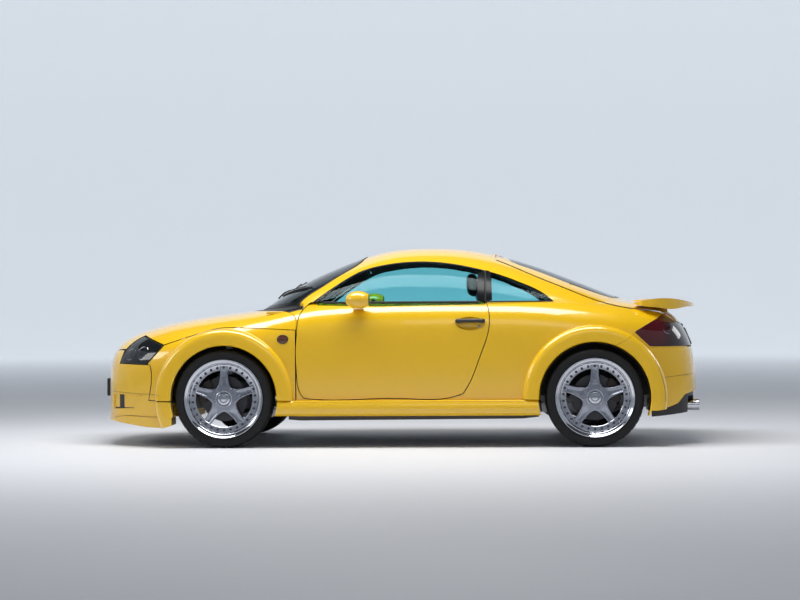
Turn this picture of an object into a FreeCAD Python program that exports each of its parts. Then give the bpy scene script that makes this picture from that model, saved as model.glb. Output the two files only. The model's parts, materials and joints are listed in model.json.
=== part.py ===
"""Two-door coupe with round wheel-arch flares, a domed roof and a deck wing.

Frame: front of the car towards -X, its left side towards -Y, +Z up, ground at Z = 0.
Lengths are in millimetres. A value or table whose name ends in SHARE or SHARES has no unit:
x shares are of the wheelbase from the front axle, y shares of the body's half width and
z shares of the roof height.
"""
import FreeCAD, Part
import math
import os

V = FreeCAD.Vector

# Driving dimensions
WHEELBASE = 2422.0
FRONT_REACH = 868.0
REAR_REACH = 716.0
ROOF_HEIGHT = 1320.0
HALF_WIDTH = 850.0
FLARE_HALF_WIDTH = 884.0
TYRE_RADIUS = 322.0
TYRE_WIDTH = 235.0
WHEEL_CENTRE_Y = 757.0
ARCH_RADII = {"front": 348.0, "rear": 362.0}
WELL_RADIUS = 388.0
WELL_INNER_Y = 470.0

# Wall thicknesses
PANEL_SKIN = 8.0
LID_WALL = 24.0
SIDE_WALL = 62.0
ROOF_WALL = 34.0
GLASS_WALL = 6.0
PANEL_GAP = 6.0

AXLE_HEIGHT = TYRE_RADIUS
AXLE_FRONT_X = FRONT_REACH - (FRONT_REACH + WHEELBASE + REAR_REACH) / 2
AXLE_REAR_X = AXLE_FRONT_X + WHEELBASE

# Lower body: x, top, half width, and how square the shoulder is
HULL_STATION_SHARES = [
    (-0.3559, 0.3788, 0.176, 2.7),
    (-0.3510, 0.4356, 0.353, 2.8),
    (-0.3406, 0.4848, 0.494, 2.9),
    (-0.3221, 0.5205, 0.612, 3.0),
    (-0.2952, 0.5492, 0.706, 3.1),
    (-0.2560, 0.5795, 0.794, 3.2),
    (-0.2064, 0.6053, 0.865, 3.3),
    (-0.1445, 0.6303, 0.920, 3.4),
    (-0.0619, 0.6538, 0.962, 3.6),
    (0.0206, 0.6720, 0.986, 3.9),
    (0.1239, 0.6955, 0.997, 4.9),
    (0.2477, 0.7420, 1.000, 5.6),
    (0.4129, 0.7560, 1.000, 6.0),
    (0.5780, 0.7620, 1.000, 6.0),
    (0.7432, 0.7640, 0.998, 5.8),
    (0.8877, 0.7600, 0.991, 5.2),
    (1.0116, 0.7400, 0.974, 4.6),
    (1.0941, 0.7250, 0.947, 4.2),
    (1.1560, 0.7060, 0.906, 4.0),
    (1.1989, 0.6820, 0.858, 3.9),
    (1.2320, 0.6450, 0.800, 3.8),
    (1.2570, 0.5890, 0.722, 3.6),
    (1.2750, 0.5190, 0.620, 3.4),
    (1.2860, 0.4440, 0.480, 3.2),
    (1.2906, 0.3700, 0.290, 3.0),
]
HULL_WIDEST_SHARE = 0.57
HULL_TUCK_SHARE = 0.07

# Glasshouse: x, top, half width at its foot
CABIN_STATION_SHARES = [
    (0.0640, 0.6650, 0.130),
    (0.0730, 0.6800, 0.290),
    (0.0908, 0.7030, 0.470),
    (0.1239, 0.7439, 0.640),
    (0.1734, 0.7992, 0.771),
    (0.2312, 0.8538, 0.853),
    (0.2890, 0.9000, 0.894),
    (0.3509, 0.9439, 0.915),
    (0.4129, 0.9773, 0.925),
    (0.4748, 0.9955, 0.928),
    (0.5533, 1.0000, 0.929),
    (0.6317, 0.9939, 0.928),
    (0.7102, 0.9735, 0.924),
    (0.7845, 0.9394, 0.913),
    (0.8588, 0.8962, 0.896),
    (0.9331, 0.8447, 0.873),
    (0.9992, 0.7970, 0.838),
    (1.0570, 0.7545, 0.776),
    (1.1065, 0.7250, 0.682),
    (1.1396, 0.7070, 0.553),
    (1.1561, 0.6920, 0.388),
]
CABIN_FOOT_SHARE = 0.636
CABIN_ROUNDNESS = 2.3

LOWER_STEPS = 3
SIDE_STEPS = 9

# Outline of a door, seen from the side
DOOR_OUTLINE_SHARES = [
    (0.2312, 0.7167), (0.2147, 0.6856), (0.2048, 0.6530), (0.1994, 0.5788), (0.1961, 0.4848),
    (0.1986, 0.3606), (0.2064, 0.2765), (0.2172, 0.2470), (0.2605, 0.2394), (0.4765, 0.2447),
    (0.6247, 0.2538), (0.6462, 0.2682), (0.6598, 0.3076), (0.6928, 0.4561), (0.7147, 0.5788),
    (0.7172, 0.6379), (0.7077, 0.7197),
]

# Outline of the windscreen, seen from the side
WINDSCREEN_SHARES = [
    (0.0000, 0.5682), (0.1239, 0.5682), (0.1780, 0.6674), (0.2110, 0.7379), (0.2552, 0.7924),
    (0.2993, 0.8470), (0.3431, 0.8970), (0.3625, 0.9273), (0.3708, 0.9561), (0.3728, 1.0758),
    (0.0000, 1.0758),
]

# Outline of the side windows, seen from the side
SIDE_GLASS_SHARES = [
    (0.2337, 0.7174), (0.2779, 0.7773), (0.3216, 0.8318), (0.3658, 0.8765), (0.4096, 0.9008),
    (0.4533, 0.9152), (0.5409, 0.9242), (0.6280, 0.9083), (0.6932, 0.8826), (0.7585, 0.8470),
    (0.8018, 0.8159), (0.8452, 0.7811), (0.8914, 0.7197),
]

# Outline of the bonnet, seen from the side
HOOD_SHARES = [
    (-0.4046, 0.4848), (-0.2890, 0.4886), (-0.2642, 0.5303), (-0.2349, 0.5583), (-0.1718, 0.5129),
    (-0.1201, 0.5424), (-0.0652, 0.5735), (-0.0219, 0.5939), (0.0438, 0.5970), (0.1251, 0.5909),
    (0.1957, 0.5848), (0.1957, 0.9848), (-0.4046, 0.9848),
]

# Outline of a front fender, seen from the side
FENDER_SHARES = [
    (-0.1697, 0.5083), (-0.1201, 0.5386), (-0.0652, 0.5697), (-0.0219, 0.5902), (0.0438, 0.5932),
    (0.1251, 0.5871), (0.1936, 0.5811), (0.1936, 0.2348), (-0.2122, 0.2348), (-0.2081, 0.2727),
    (-0.2027, 0.3485), (-0.2077, 0.4098), (-0.2155, 0.4159), (-0.1883, 0.4697),
]

# Outline of the front bumper, seen from the side
FRONT_BUMPER_SHARES = [
    (-0.4046, 0.4811), (-0.2940, 0.4811), (-0.3055, 0.4144), (-0.2102, 0.4098), (-0.2052, 0.3485),
    (-0.2106, 0.2727), (-0.2147, 0.2311), (-0.1363, 0.2273), (-0.1363, 0.0758), (-0.4046, 0.0758),
]

# Outline of a headlight, seen from the side
HEADLIGHT_SHARES = [
    (-0.3035, 0.4189), (-0.2849, 0.4864), (-0.2490, 0.5409), (-0.2374, 0.5508), (-0.1742, 0.5061),
    (-0.1912, 0.4727), (-0.2188, 0.4159),
]

# Outline of a tail lamp, seen from the side
TAIL_LAMP_SHARES = [
    (1.1090, 0.5644), (1.1928, 0.6523), (1.2345, 0.6061), (1.3625, 0.6061), (1.3625, 0.4939),
    (1.1499, 0.4939),
]

# Outline of the tailgate, seen from the side
TAILGATE_SHARES = [
    (0.7374, 1.0985), (0.7374, 0.9333), (0.7845, 0.8977), (0.8423, 0.8500), (0.9290, 0.7841),
    (1.0116, 0.7235), (1.0735, 0.6932), (1.1354, 0.6765), (1.1928, 0.6606), (1.2159, 0.6439),
    (1.2378, 0.5871), (1.2614, 0.4583), (1.3625, 0.4583), (1.3625, 1.0985),
]

# Outline of the rear bumper, seen from the side
REAR_BUMPER_SHARES = [
    (1.0322, 0.4886), (1.0528, 0.5000), (1.1065, 0.5568), (1.1457, 0.4886), (1.3625, 0.4886),
    (1.3625, 0.0758), (1.0322, 0.0758),
]

# Outline of what is cut away below, seen from the side
UNDERSIDE_SHARES = [
    (-0.4129, 0.1515), (-0.1383, 0.1515), (-0.1363, 0.1818), (0.1486, 0.1818), (0.1569, 0.1553),
    (1.1457, 0.1553), (1.1499, 0.1795), (1.1850, 0.1841), (1.2287, 0.2114), (1.2477, 0.2515),
    (1.2799, 0.2667), (1.3625, 0.2667), (1.3625, -0.0758), (-0.4129, -0.0758),
]

# Outline of the wing blade, seen from the side
WING_SHARES = [
    (1.1065, 0.7045), (1.1342, 0.7205), (1.1614, 0.7280), (1.2085, 0.7303), (1.2440, 0.7220),
    (1.2717, 0.7114), (1.2956, 0.7015), (1.2870, 0.6924), (1.2634, 0.6886), (1.2180, 0.6765),
    (1.1767, 0.6841), (1.1230, 0.6962),
]

# Outline of a front seat, seen from the side
SEAT_SHARES = [
    (0.4377, 0.2273), (0.6358, 0.2045), (0.6730, 0.2500), (0.7205, 0.7045), (0.6957, 0.7311),
    (0.6668, 0.7121), (0.6152, 0.3788), (0.5904, 0.3333), (0.4377, 0.3485),
]

# Outline of a headrest, seen from the side
HEADREST_SHARES = [
    (0.6524, 0.7386), (0.6936, 0.7386), (0.6854, 0.8636), (0.6565, 0.8712), (0.6462, 0.8333),
]

# Outline of the front frame sides, seen from the side
FRONT_FRAME_SHARES = [
    (-0.3220, 0.1970), (-0.3220, 0.3939), (-0.2560, 0.4545), (-0.1652, 0.4545), (-0.1156, 0.5000),
    (-0.0206, 0.5417), (0.0413, 0.5455), (0.1951, 0.5492), (0.1951, 0.1970),
]

# Outline of the front lip, seen from the side
LIP_SHARES = [
    (-0.4046, 0.1515), (-0.4046, 0.1409), (-0.3303, 0.1250), (-0.2477, 0.1053), (-0.1652, 0.1000),
    (-0.1404, 0.1136), (-0.1404, 0.1515),
]

# Outline of the rear apron, seen from the side
APRON_SHARES = [
    (1.1561, 0.2348), (1.2263, 0.2727), (1.3625, 0.2727), (1.3625, 0.1894), (1.2469, 0.1591),
    (1.1561, 0.1439),
]

# Outline of the dashboard, seen from the side
DASHBOARD_SHARES = [
    (0.1755, 0.5000), (0.1755, 0.6318), (0.2684, 0.6318), (0.2952, 0.6258), (0.3105, 0.5985),
    (0.3138, 0.5606), (0.3076, 0.5227), (0.2973, 0.5000),
]

# Outline of a rear seat, seen from the side
REAR_SEAT_SHARES = [
    (0.7556, 0.3258), (0.8836, 0.3258), (0.9001, 0.6288), (0.8877, 0.6515), (0.8671, 0.6402),
    (0.8505, 0.4091), (0.8258, 0.3939), (0.7638, 0.4015),
]

# Rear edge of the bonnet, seen from above
HOOD_REAR_SHARES = [
    (0.0413, 0.0000), (0.0462, 0.1765), (0.0557, 0.3529), (0.0888, 0.5882), (0.1239, 0.7294),
    (0.1590, 0.8235), (0.1817, 0.8941), (0.1924, 0.9412), (0.1957, 1.1176),
]

# Rear edge of the scuttle panel, seen from above
COWL_REAR_SHARES = [
    (0.1239, 0.0000), (0.1321, 0.3529), (0.1569, 0.5882), (0.1817, 0.7059), (0.2106, 0.7765),
    (0.2126, 0.8647),
]

# Outline of the rear window, seen from above
REAR_GLASS_SHARES = [
    (0.7688, 0.0000), (0.7704, 0.2353), (0.7783, 0.3529), (0.8010, 0.4294), (0.9083, 0.5059),
    (1.0074, 0.5353), (1.0528, 0.4941), (1.0735, 0.3765), (1.0797, 0.0000),
]

# Outline of the wing blade, seen from above
WING_PLAN_SHARES = [
    (1.1850, 0.0000), (1.1808, 0.2941), (1.1561, 0.5294), (1.1148, 0.6824), (1.1107, 0.7412),
    (1.1313, 0.7824), (1.1808, 0.7706), (1.2221, 0.7059), (1.2634, 0.5412), (1.2865, 0.3059),
    (1.2956, 0.0000),
]

# Outline of a front lower arm, seen from above
LOWER_ARM_SHARES = [
    (-0.0661, -0.3882), (-0.0495, -0.4235), (-0.0124, -0.7059), (-0.0074, -0.8900),
    (0.0074, -0.8900), (0.0124, -0.7059), (0.0495, -0.4235), (0.0661, -0.3882),
]

# Outline of a front upper arm, seen from above
UPPER_ARM_SHARES = [
    (-0.0413, -0.5353), (-0.0124, -0.7059), (-0.0074, -0.8900), (0.0074, -0.8900),
    (0.0124, -0.7059), (0.0413, -0.5353),
]

# Outline of the upper grille, seen from the front
UPPER_GRILLE_SHARES = [
    (-0.3882, 0.3788), (0.3882, 0.3788), (0.4353, 0.4545), (-0.4353, 0.4545),
]

# Outline of the lower intake, seen from the front
LOWER_INTAKE_SHARES = [
    (-0.4706, 0.1705), (0.4706, 0.1705), (0.4235, 0.2614), (-0.4235, 0.2614),
]

# Outline of a side intake, seen from the front
SIDE_INTAKE_SHARES = [
    (0.5882, 0.1856), (0.7765, 0.1932), (0.8235, 0.2614), (0.5882, 0.2614),
]

# Section of the left skirt, seen from the front
SKIRT_SHARES = [
    (-0.9412, 0.2345), (-1.0118, 0.2345), (-1.0329, 0.2254), (-1.0400, 0.2121), (-1.0353, 0.1682),
    (-1.0118, 0.1576), (-0.9412, 0.1561),
]

# Floor, tunnel, heel board, boot floor and firewall
FLOOR_BOX_SHARES = [
    (0.1652, 0.8258, -0.9647, 0.9647, 0.1553, 0.1780),
    (0.1652, 0.8258, -0.1529, 0.1529, 0.1553, 0.2803),
    (0.7349, 0.7473, -0.9647, 0.9647, 0.1553, 0.3258),
    (0.7349, 1.2180, -0.9647, 0.9647, 0.3030, 0.3258),
    (0.1652, 0.1755, -0.9647, 0.9647, 0.1553, 0.7197),
]

# Room under the tunnel
TUNNEL_BOX_SHARES = [
    (0.1569, 0.8340, -0.1294, 0.1294, 0.1439, 0.2652),
]

# Rails, cross members and bumper beam of the front frame
FRAME_BOX_SHARES = [
    (-0.2890, -0.2560, -0.7059, 0.7059, 0.1629, 0.2045),
    (-0.2890, -0.2560, -0.5882, 0.5882, 0.4242, 0.4545),
    (-0.2890, 0.1652, -0.5353, -0.4706, 0.3182, 0.3788),
    (-0.2890, 0.1652, 0.4706, 0.5353, 0.3182, 0.3788),
    (-0.3324, -0.3076, -0.4706, 0.4706, 0.2955, 0.3561),
    (-0.3097, -0.2849, -0.5353, -0.4706, 0.2955, 0.3561),
    (-0.3097, -0.2849, 0.4706, 0.5353, 0.2955, 0.3561),
    (-0.2890, -0.2560, -0.5353, -0.4706, 0.1629, 0.4545),
    (-0.2890, -0.2560, 0.4706, 0.5353, 0.1629, 0.4545),
    (-0.2725, -0.2560, -0.4706, 0.4706, 0.2045, 0.4242),
]

# Engine block, gearbox, head and mounts
ENGINE_BOX_SHARES = [
    (-0.1486, 0.0578, -0.4471, 0.2353, 0.1818, 0.4545),
    (-0.1156, 0.0413, 0.2353, 0.4353, 0.1818, 0.3939),
    (-0.1239, 0.0330, -0.4235, 0.1882, 0.4545, 0.5303),
    (-0.0413, 0.0000, -0.4706, -0.4471, 0.3258, 0.3712),
    (-0.0413, 0.0000, 0.4353, 0.4706, 0.3258, 0.3712),
    (-0.0495, 0.0495, -0.1647, 0.1647, 0.1629, 0.1818),
]

# Front subframe
SUBFRAME_BOX_SHARES = [
    (-0.0702, 0.1073, -0.4059, 0.4059, 0.1326, 0.1629),
]

# Trailing arm, hub carrier and spring seat on the left
REAR_ARM_BOX_SHARES = [
    (0.8258, 0.9909, -0.6824, -0.6118, 0.1629, 0.2083),
    (0.9744, 1.0239, -0.7059, -0.6235, 0.1742, 0.3182),
    (0.9083, 0.9496, -0.6118, -0.4000, 0.1780, 0.2083),
]

# Hinge pillar and its foot on the left
HINGE_POST_BOX_SHARES = [
    (0.1967, 0.2374, -0.8976, -0.8118, 0.1780, 0.6500),
    (0.1967, 0.2374, -0.9412, -0.8118, 0.1780, 0.2258),
]

# Console under the dashboard and along the tunnel
CONSOLE_BOX_SHARES = [
    (0.1755, 0.2271, -0.2353, 0.2353, 0.2803, 0.5000),
    (0.2271, 0.5987, -0.1471, 0.1471, 0.2803, 0.3788),
]

# Tray between the rear seats
BENCH_BOX_SHARES = [
    (0.7556, 0.8671, -0.0353, 0.0353, 0.3258, 0.3788),
]

# Rear silencer
MUFFLER_BOX_SHARES = [
    (1.0818, 1.1808, -0.5176, 0.1412, 0.1818, 0.2803),
    (1.1148, 1.1272, -0.4706, -0.4353, 0.2727, 0.3028),
    (1.1148, 1.1272, 0.0588, 0.0941, 0.2727, 0.3028),
]

# Notch for the tail pipes
APRON_NOTCH_BOX_SHARES = [
    (1.1974, 1.3625, -0.6588, -0.3882, 0.0758, 0.2409),
]

# Left stand of the wing
WING_STAND_BOX_SHARES = [
    (1.1390, 1.2100, -0.4500, -0.3800, 0.6000, 0.7125),
]

# Doors
DOOR_HINGE_X = 70.0
DOOR_HINGE_Y = 832.0
DOOR_FLANGE = 5.0
DOOR_BOX_START = 34.0
HINGE_HEIGHT_SHARES = (0.345, 0.553)
HINGE_TALL = 36.0
STRAP_THICK = 14.0
PIN_RADIUS = 4.0
BOSS_RADIUS = 8.0
PIN_PLAY = 0.05
GLASS_TUCK = 45.0
REAR_PILLAR_SHARE = 0.7077
HANDLE_SHARES = (0.6668, 0.6121)
HANDLE_RADII = (94.0, 24.0, 47.0)
HANDLE_BAR_RADIUS = 9.0

# Bonnet, tailgate and fuel flap
HOOD_HINGE_SHARES = (0.2023, 0.6667)
HOOD_HINGE_Y = 700.0
HOOD_ARM_WIDE = 14.0
HOOD_ARM_SHARE = 0.111
SCUTTLE_SHARES = (0.1965, 0.6)
REAR_GLASS_LOW_SHARE = 0.7
TAILGATE_HINGE_Y = 60.0
FLAP_SHARES = (0.905, 0.640)
FLAP_RADIUS = 74.0
FLAP_POCKET = 46.0
FLAP_PIN_RADIUS = 2.0
FLAP_BOSS_RADIUS = 4.5
FLAP_BOSS_LONG = 20.0
TAILGATE_PIN_RADIUS = 3.0
TAILGATE_BOSS_RADIUS = 6.0
TAILGATE_BOSS_WIDE = 18.0
KNUCKLE_ROOM = 1.0
TOW_EYE_RADIUS = 8.0
TOW_EYE_LONG = 40.0
TOW_BOSS_RADIUS = 14.0
TOW_HOLE_RADIUS = 20.0
TOW_EYE_SHARES = (0.353, 0.3258)

# Wheels
FLARE_BAND = 110.0
FLARE_ROOT_Y = 690.0
RIM_LIP_RADIUS = 258.5
RIM_SEAT_RADIUS = 242.0
RIM_BORE_RADIUS = 226.0
RIM_LIP_WIDE = 11.0
RIM_STEP = 5.5
HUB_RADIUS = 74.0
SPOKE_COUNT = 5
SPOKE_ROOT = 60.0
SPOKE_TIP = 51.0
SPOKE_BORDER = 8.0
SPOKE_POCKET = 4.0
WINDOW_RADII = (187.0, 125.0, 86.0)
CAP_RADIUS = 53.0
CAP_PROUD = 6.0
SPOKE_DEEP = 34.0
SPOKE_FACE = 14.0
DISC_RADIUS = 150.0
DISC_THICK = 24.0
DISC_Y = 794.0
HUB_BORE = 18.0
TYRE_SHOULDER = 24.0
TYRE_CROWN = 4.0
LINER_WALL = 6.0
FENDER_EDGE_Y = 790.0
FLARE_PROFILE_SHARES = ((0.0, 0.915), (0.064, 1.0), (0.55, 0.979), (0.82, 0.872), (0.96, 0.638), (1.0, 0.3))

# Chassis
KINGPIN_OFFSET = 12.0
KINGPIN_RADIUS = 9.0
LOWER_ARM_Z = 186.0
UPPER_ARM_Z = 452.0
ARM_THICK = 22.0
UPRIGHT_THICK = 44.0
UPRIGHT_INNER_Y = 678.0
UPRIGHT_OUTER_Y = 706.0
SHAFT_RADIUS = 13.0
SHAFT_START_Y = 370.0
SHAFT_END_Y = 600.0
SPRING_RADIUS = 46.0
SPRING_Y = 540.0
DAMPER_X = 38.0
DAMPER_Y = 530.0
DAMPER_RADIUS = 14.0
SEAT_REST = 0.3
BEAM_RADIUS = 34.0
BEAM_X_SHARE = 0.929
BEAM_Z = 275.0
REAR_SPRING_Y = 400.0
PIPE_RADIUS = 25.0
PIPE_SHARES = ((0.09, 0.0, 0.194), (0.85, 0.0, 0.194), (0.885, 0.0, 0.144), (1.05, 0.0, 0.144),
               (1.10, -0.111, 0.194))
TIP_RADIUS = 34.0
TIP_WALL = 3.0
TIP_X_SHARES = (1.15, 1.23, 1.2903)
TIP_Y_SHARES = (-0.455, -0.555)
TIP_Z_SHARE = 0.194

# Cabin
WHEEL_RIM_RADIUS = 182.0
WHEEL_RIM_THICK = 15.0
WHEEL_SPOKE_RADIUS = 12.0
COLUMN_RADIUS = 22.0
COLUMN_TILT = 24.0
COLUMN_SHARES = (0.425, 0.60)
DASHBOARD_Y = 655.0
SEAT_Y = 366.0
SEAT_WIDE = 462.0
HEADREST_WIDE = 250.0
POST_RADIUS = 7.0
REAR_SEAT_Y = (30.0, 440.0)
MIRROR_RADII = (86.0, 66.0, 58.0)
MIRROR_SHARES = (0.3671, 1.030, 0.7310)
MIRROR_GLASS_X = 66.0
LAMP_DEEP = 40.0
TAIL_LAMP_INNER_SHARE = 0.48
RING_LOW_SHARE = 0.236
GRILLE_DEEP = 26.0
LIP_PROUD = 6.0
LIP_DEEP = 36.0
APRON_SET_IN = 16.0
GRILLE_BAR_SHARES = ((0.141, 0.235, 0.420), (0.647, 0.201, 0.239))
WING_GAP = 2.0
CORNER_ANGLE = 28.0
REFIT_POINTS = 16


def wheelbase_x(share):
    return AXLE_FRONT_X + share * WHEELBASE


def spline_at(values, place):
    """Read a table of evenly numbered values at a place between them, smoothly."""
    count = len(values)
    cell = min(max(int(math.floor(place)), 0), count - 2)
    part = place - cell
    before = values[cell - 1] if cell > 0 else 2 * values[0] - values[1]
    after = values[cell + 2] if cell + 2 < count else 2 * values[-1] - values[-2]
    start = (values[cell + 1] - before) / 2
    end = (after - values[cell]) / 2
    rise = values[cell + 1] - values[cell]
    return (values[cell] + start * part + (3 * rise - 2 * start - end) * part ** 2
            + (start + end - 2 * rise) * part ** 3)


def table_at(table, place):
    return [spline_at([row[column] for row in table], place) for column in range(len(table[0]))]


def squared_arc(half, rise, power, steps):
    """Return (y, z) along a quarter of a squared circle, from its side to its top."""
    points = []
    for step in range(steps + 1):
        angle = math.pi / 2 * step / steps
        radius = (math.cos(angle) ** power + math.sin(angle) ** power) ** (-1 / power)
        points.append((half * radius * math.cos(angle), rise * radius * math.sin(angle)))
    points[-1] = (0.0, rise)
    return points


def mirrored_row(x, side):
    """Make a whole section from its right half, over the top to the left."""
    right = [V(x, y, z) for y, z in side]
    left = [V(x, -y, z) for y, z in reversed(side[:-1])]
    return right + left


def even_knots(count):
    """Return knots and their multiplicities for a cubic curve that starts and ends on its poles."""
    knots = [float(knot) for knot in range(count - 2)]
    return knots, [4] + [1] * (count - 4) + [4]


def skin_solid(rows):
    """Close a smooth surface over rows of poles with flat ends and a flat floor."""
    u_knots, u_mults = even_knots(len(rows))
    v_knots, v_mults = even_knots(len(rows[0]))
    surface = Part.BSplineSurface()
    surface.buildFromPolesMultsKnots(rows, u_mults, v_mults, u_knots, v_knots, False, False, 3, 3)
    faces = [surface.toShape()]
    for u, row in ((u_knots[0], rows[0]), (u_knots[-1], rows[-1])):
        faces.append(Part.Face(Part.Wire([surface.uIso(u).toShape(), Part.makeLine(row[-1], row[0])])))
    floor = [surface.vIso(v_knots[0]).toShape(), Part.makeLine(rows[-1][0], rows[-1][-1]),
             surface.vIso(v_knots[-1]).toShape(), Part.makeLine(rows[0][-1], rows[0][0])]
    faces.append(Part.Face(Part.Wire(Part.__sortEdges__(floor))))
    shell = Part.makeShell(faces)
    shell.sewShape()
    solid = Part.makeSolid(shell)
    if solid.Volume < 0:
        solid.reverse()
    return solid


def drawn_in(x, table, wall):
    """Move a section's place towards the middle of its table by a wall."""
    low = table[0][0] * WHEELBASE
    high = table[-1][0] * WHEELBASE
    middle = (low + high) / 2
    return AXLE_FRONT_X + middle + (x * WHEELBASE - middle) * (1 - 2 * wall / (high - low))


def hull(wall):
    """Return the lower body as a solid, drawn in by a wall."""
    rows = []
    for step in range(2 * len(HULL_STATION_SHARES) - 1):
        x, top, half, power = table_at(HULL_STATION_SHARES, step / 2)
        widest = HULL_WIDEST_SHARE * top * ROOF_HEIGHT
        width = half * HALF_WIDTH - wall
        side = []
        for low in range(LOWER_STEPS):
            drop = 1 - low / LOWER_STEPS
            side.append((width * (1 - HULL_TUCK_SHARE * drop ** 2), widest * (1 - drop)))
        for y, z in squared_arc(width, top * ROOF_HEIGHT - wall - widest, power, SIDE_STEPS):
            side.append((y, widest + z))
        rows.append(mirrored_row(drawn_in(x, HULL_STATION_SHARES, wall), side))
    return skin_solid(rows)


def cabin(wall):
    """Return the glasshouse as a solid, drawn in by a wall."""
    foot = CABIN_FOOT_SHARE * ROOF_HEIGHT
    rows = []
    for step in range(2 * len(CABIN_STATION_SHARES) - 1):
        x, top, half = table_at(CABIN_STATION_SHARES, step / 2)
        arc = squared_arc(half * HALF_WIDTH - wall, top * ROOF_HEIGHT - wall - foot,
                          CABIN_ROUNDNESS, SIDE_STEPS)
        rows.append(mirrored_row(drawn_in(x, CABIN_STATION_SHARES, wall),
                                 [(y, foot + z) for y, z in arc]))
    return skin_solid(rows)

def turning(points, index):
    """Return the angle by which an outline turns at one of its points."""
    before, here, after = points[index - 1], points[index], points[(index + 1) % len(points)]
    return math.degrees((here - before).getAngle(after - here))


def outline(points, grow):
    """Join points with smooth runs that break at sharp corners, moved outwards by grow."""
    count = len(points)
    corners = [index for index in range(count) if turning(points, index) > CORNER_ANGLE]
    edges = []
    for number, corner in enumerate(corners):
        end = corners[(number + 1) % len(corners)]
        length = (end - corner) % count or count
        run = [points[(corner + step) % count] for step in range(length + 1)]
        if len(run) == 2:
            edges.append(Part.makeLine(run[0], run[1]))
        else:
            curve = Part.BSplineCurve()
            curve.interpolate(run)
            edges.append(curve.toShape())
    wire = Part.Wire(edges)
    if not grow:
        return wire
    moved = wire.makeOffset2D(grow)
    if (Part.Face(moved).Area > Part.Face(wire).Area) != (grow > 0):
        moved = wire.makeOffset2D(-grow)
    return Part.Wire([refitted(edge) for edge in moved.OrderedEdges])


def refitted(edge):
    """Redraw an edge as a smooth curve through its own points, unless it is a line or an arc."""
    if edge.Curve.TypeId in ("Part::GeomLine", "Part::GeomCircle"):
        return edge
    curve = Part.BSplineCurve()
    curve.interpolate(edge.discretize(REFIT_POINTS))
    return curve.toShape()


def side_prism(table, low, high, grow=0.0):
    """Extrude an outline that is seen from the side, between two places across the car."""
    points = [V(wheelbase_x(x), low, z * ROOF_HEIGHT) for x, z in table]
    return Part.Face(outline(points, grow)).extrude(V(0, high - low, 0))


def plan_prism(table, low, high, grow=0.0):
    """Extrude an outline that is seen from above, between two heights."""
    points = [V(wheelbase_x(x), y * HALF_WIDTH, low) for x, y in table]
    return Part.Face(outline(points, grow)).extrude(V(0, 0, high - low))


def front_prism(table, low, high, grow=0.0):
    """Extrude an outline that is seen from the front, between two places along the car."""
    points = [V(low, y * HALF_WIDTH, z * ROOF_HEIGHT) for y, z in table]
    return Part.Face(outline(points, grow)).extrude(V(high - low, 0, 0))


def block(low, high):
    size = high - low
    return Part.makeBox(size.x, size.y, size.z, low)


def boxes(table):
    """Join the boxes of a table of x, y and z limits."""
    solids = []
    for x0, x1, y0, y1, z0, z1 in table:
        low = V(wheelbase_x(x0), y0 * HALF_WIDTH, z0 * ROOF_HEIGHT)
        high = V(wheelbase_x(x1), y1 * HALF_WIDTH, z1 * ROOF_HEIGHT)
        solids.append(block(low, high))
    return joined(solids)


def joined(solids):
    """Fuse solids into one."""
    if len(solids) == 1:
        return solids[0]
    return solids[0].fuse(solids[1:]).removeSplitter()


def rod(start, end, radius):
    return Part.makeCylinder(radius, (end - start).Length, start, end - start)


def mirrored(shape):
    return shape.mirror(V(0, 0, 0), V(0, 1, 0))


def both_sides(shape):
    return joined([shape, mirrored(shape)])


def whole(shape):
    """Keep the largest solid of a cut."""
    return max(shape.Solids, key=lambda solid: solid.Volume)


# Places outside the body, for cuts that run past it
REACH = FRONT_REACH + WHEELBASE + REAR_REACH
WIDE = 2 * FLARE_HALF_WIDTH
HIGH = 2 * ROOF_HEIGHT
INNER_Y = HALF_WIDTH / 3

BODY = {wall: hull(wall) for wall in (0.0, DOOR_FLANGE, PANEL_SKIN, LID_WALL, LAMP_DEEP, SIDE_WALL)}
HOUSE = {wall: cabin(wall) for wall in (0.0, GLASS_WALL, LID_WALL, ROOF_WALL)}
ROOM = joined([BODY[SIDE_WALL], HOUSE[ROOF_WALL]])
UNDERSIDE = side_prism(UNDERSIDE_SHARES, -WIDE, WIDE)
AXLES = {"front": AXLE_FRONT_X, "rear": AXLE_REAR_X}


def height_of(solid, x, y):
    """Return how high a solid reaches at a place."""
    line = Part.makeLine(V(x, y, 0), V(x, y, HIGH))
    return solid.common(line).BoundBox.ZMax


def side_of(solid, x, z):
    """Return how far a solid reaches to the side at a place."""
    line = Part.makeLine(V(x, 0, z), V(x, WIDE, z))
    return solid.common(line).BoundBox.YMax


def axle_cylinder(axle, radius, low, high):
    return Part.makeCylinder(radius, high - low, V(AXLES[axle], low, AXLE_HEIGHT), V(0, 1, 0))


def well(axle, grow):
    """Return the room of a left wheel: a deep round well and a narrower arch through its side."""
    inner = axle_cylinder(axle, WELL_RADIUS + grow, -FENDER_EDGE_Y, grow - WELL_INNER_Y)
    arch = axle_cylinder(axle, ARCH_RADII[axle], -WIDE, -WELL_INNER_Y)
    return joined([inner, arch])


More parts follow.
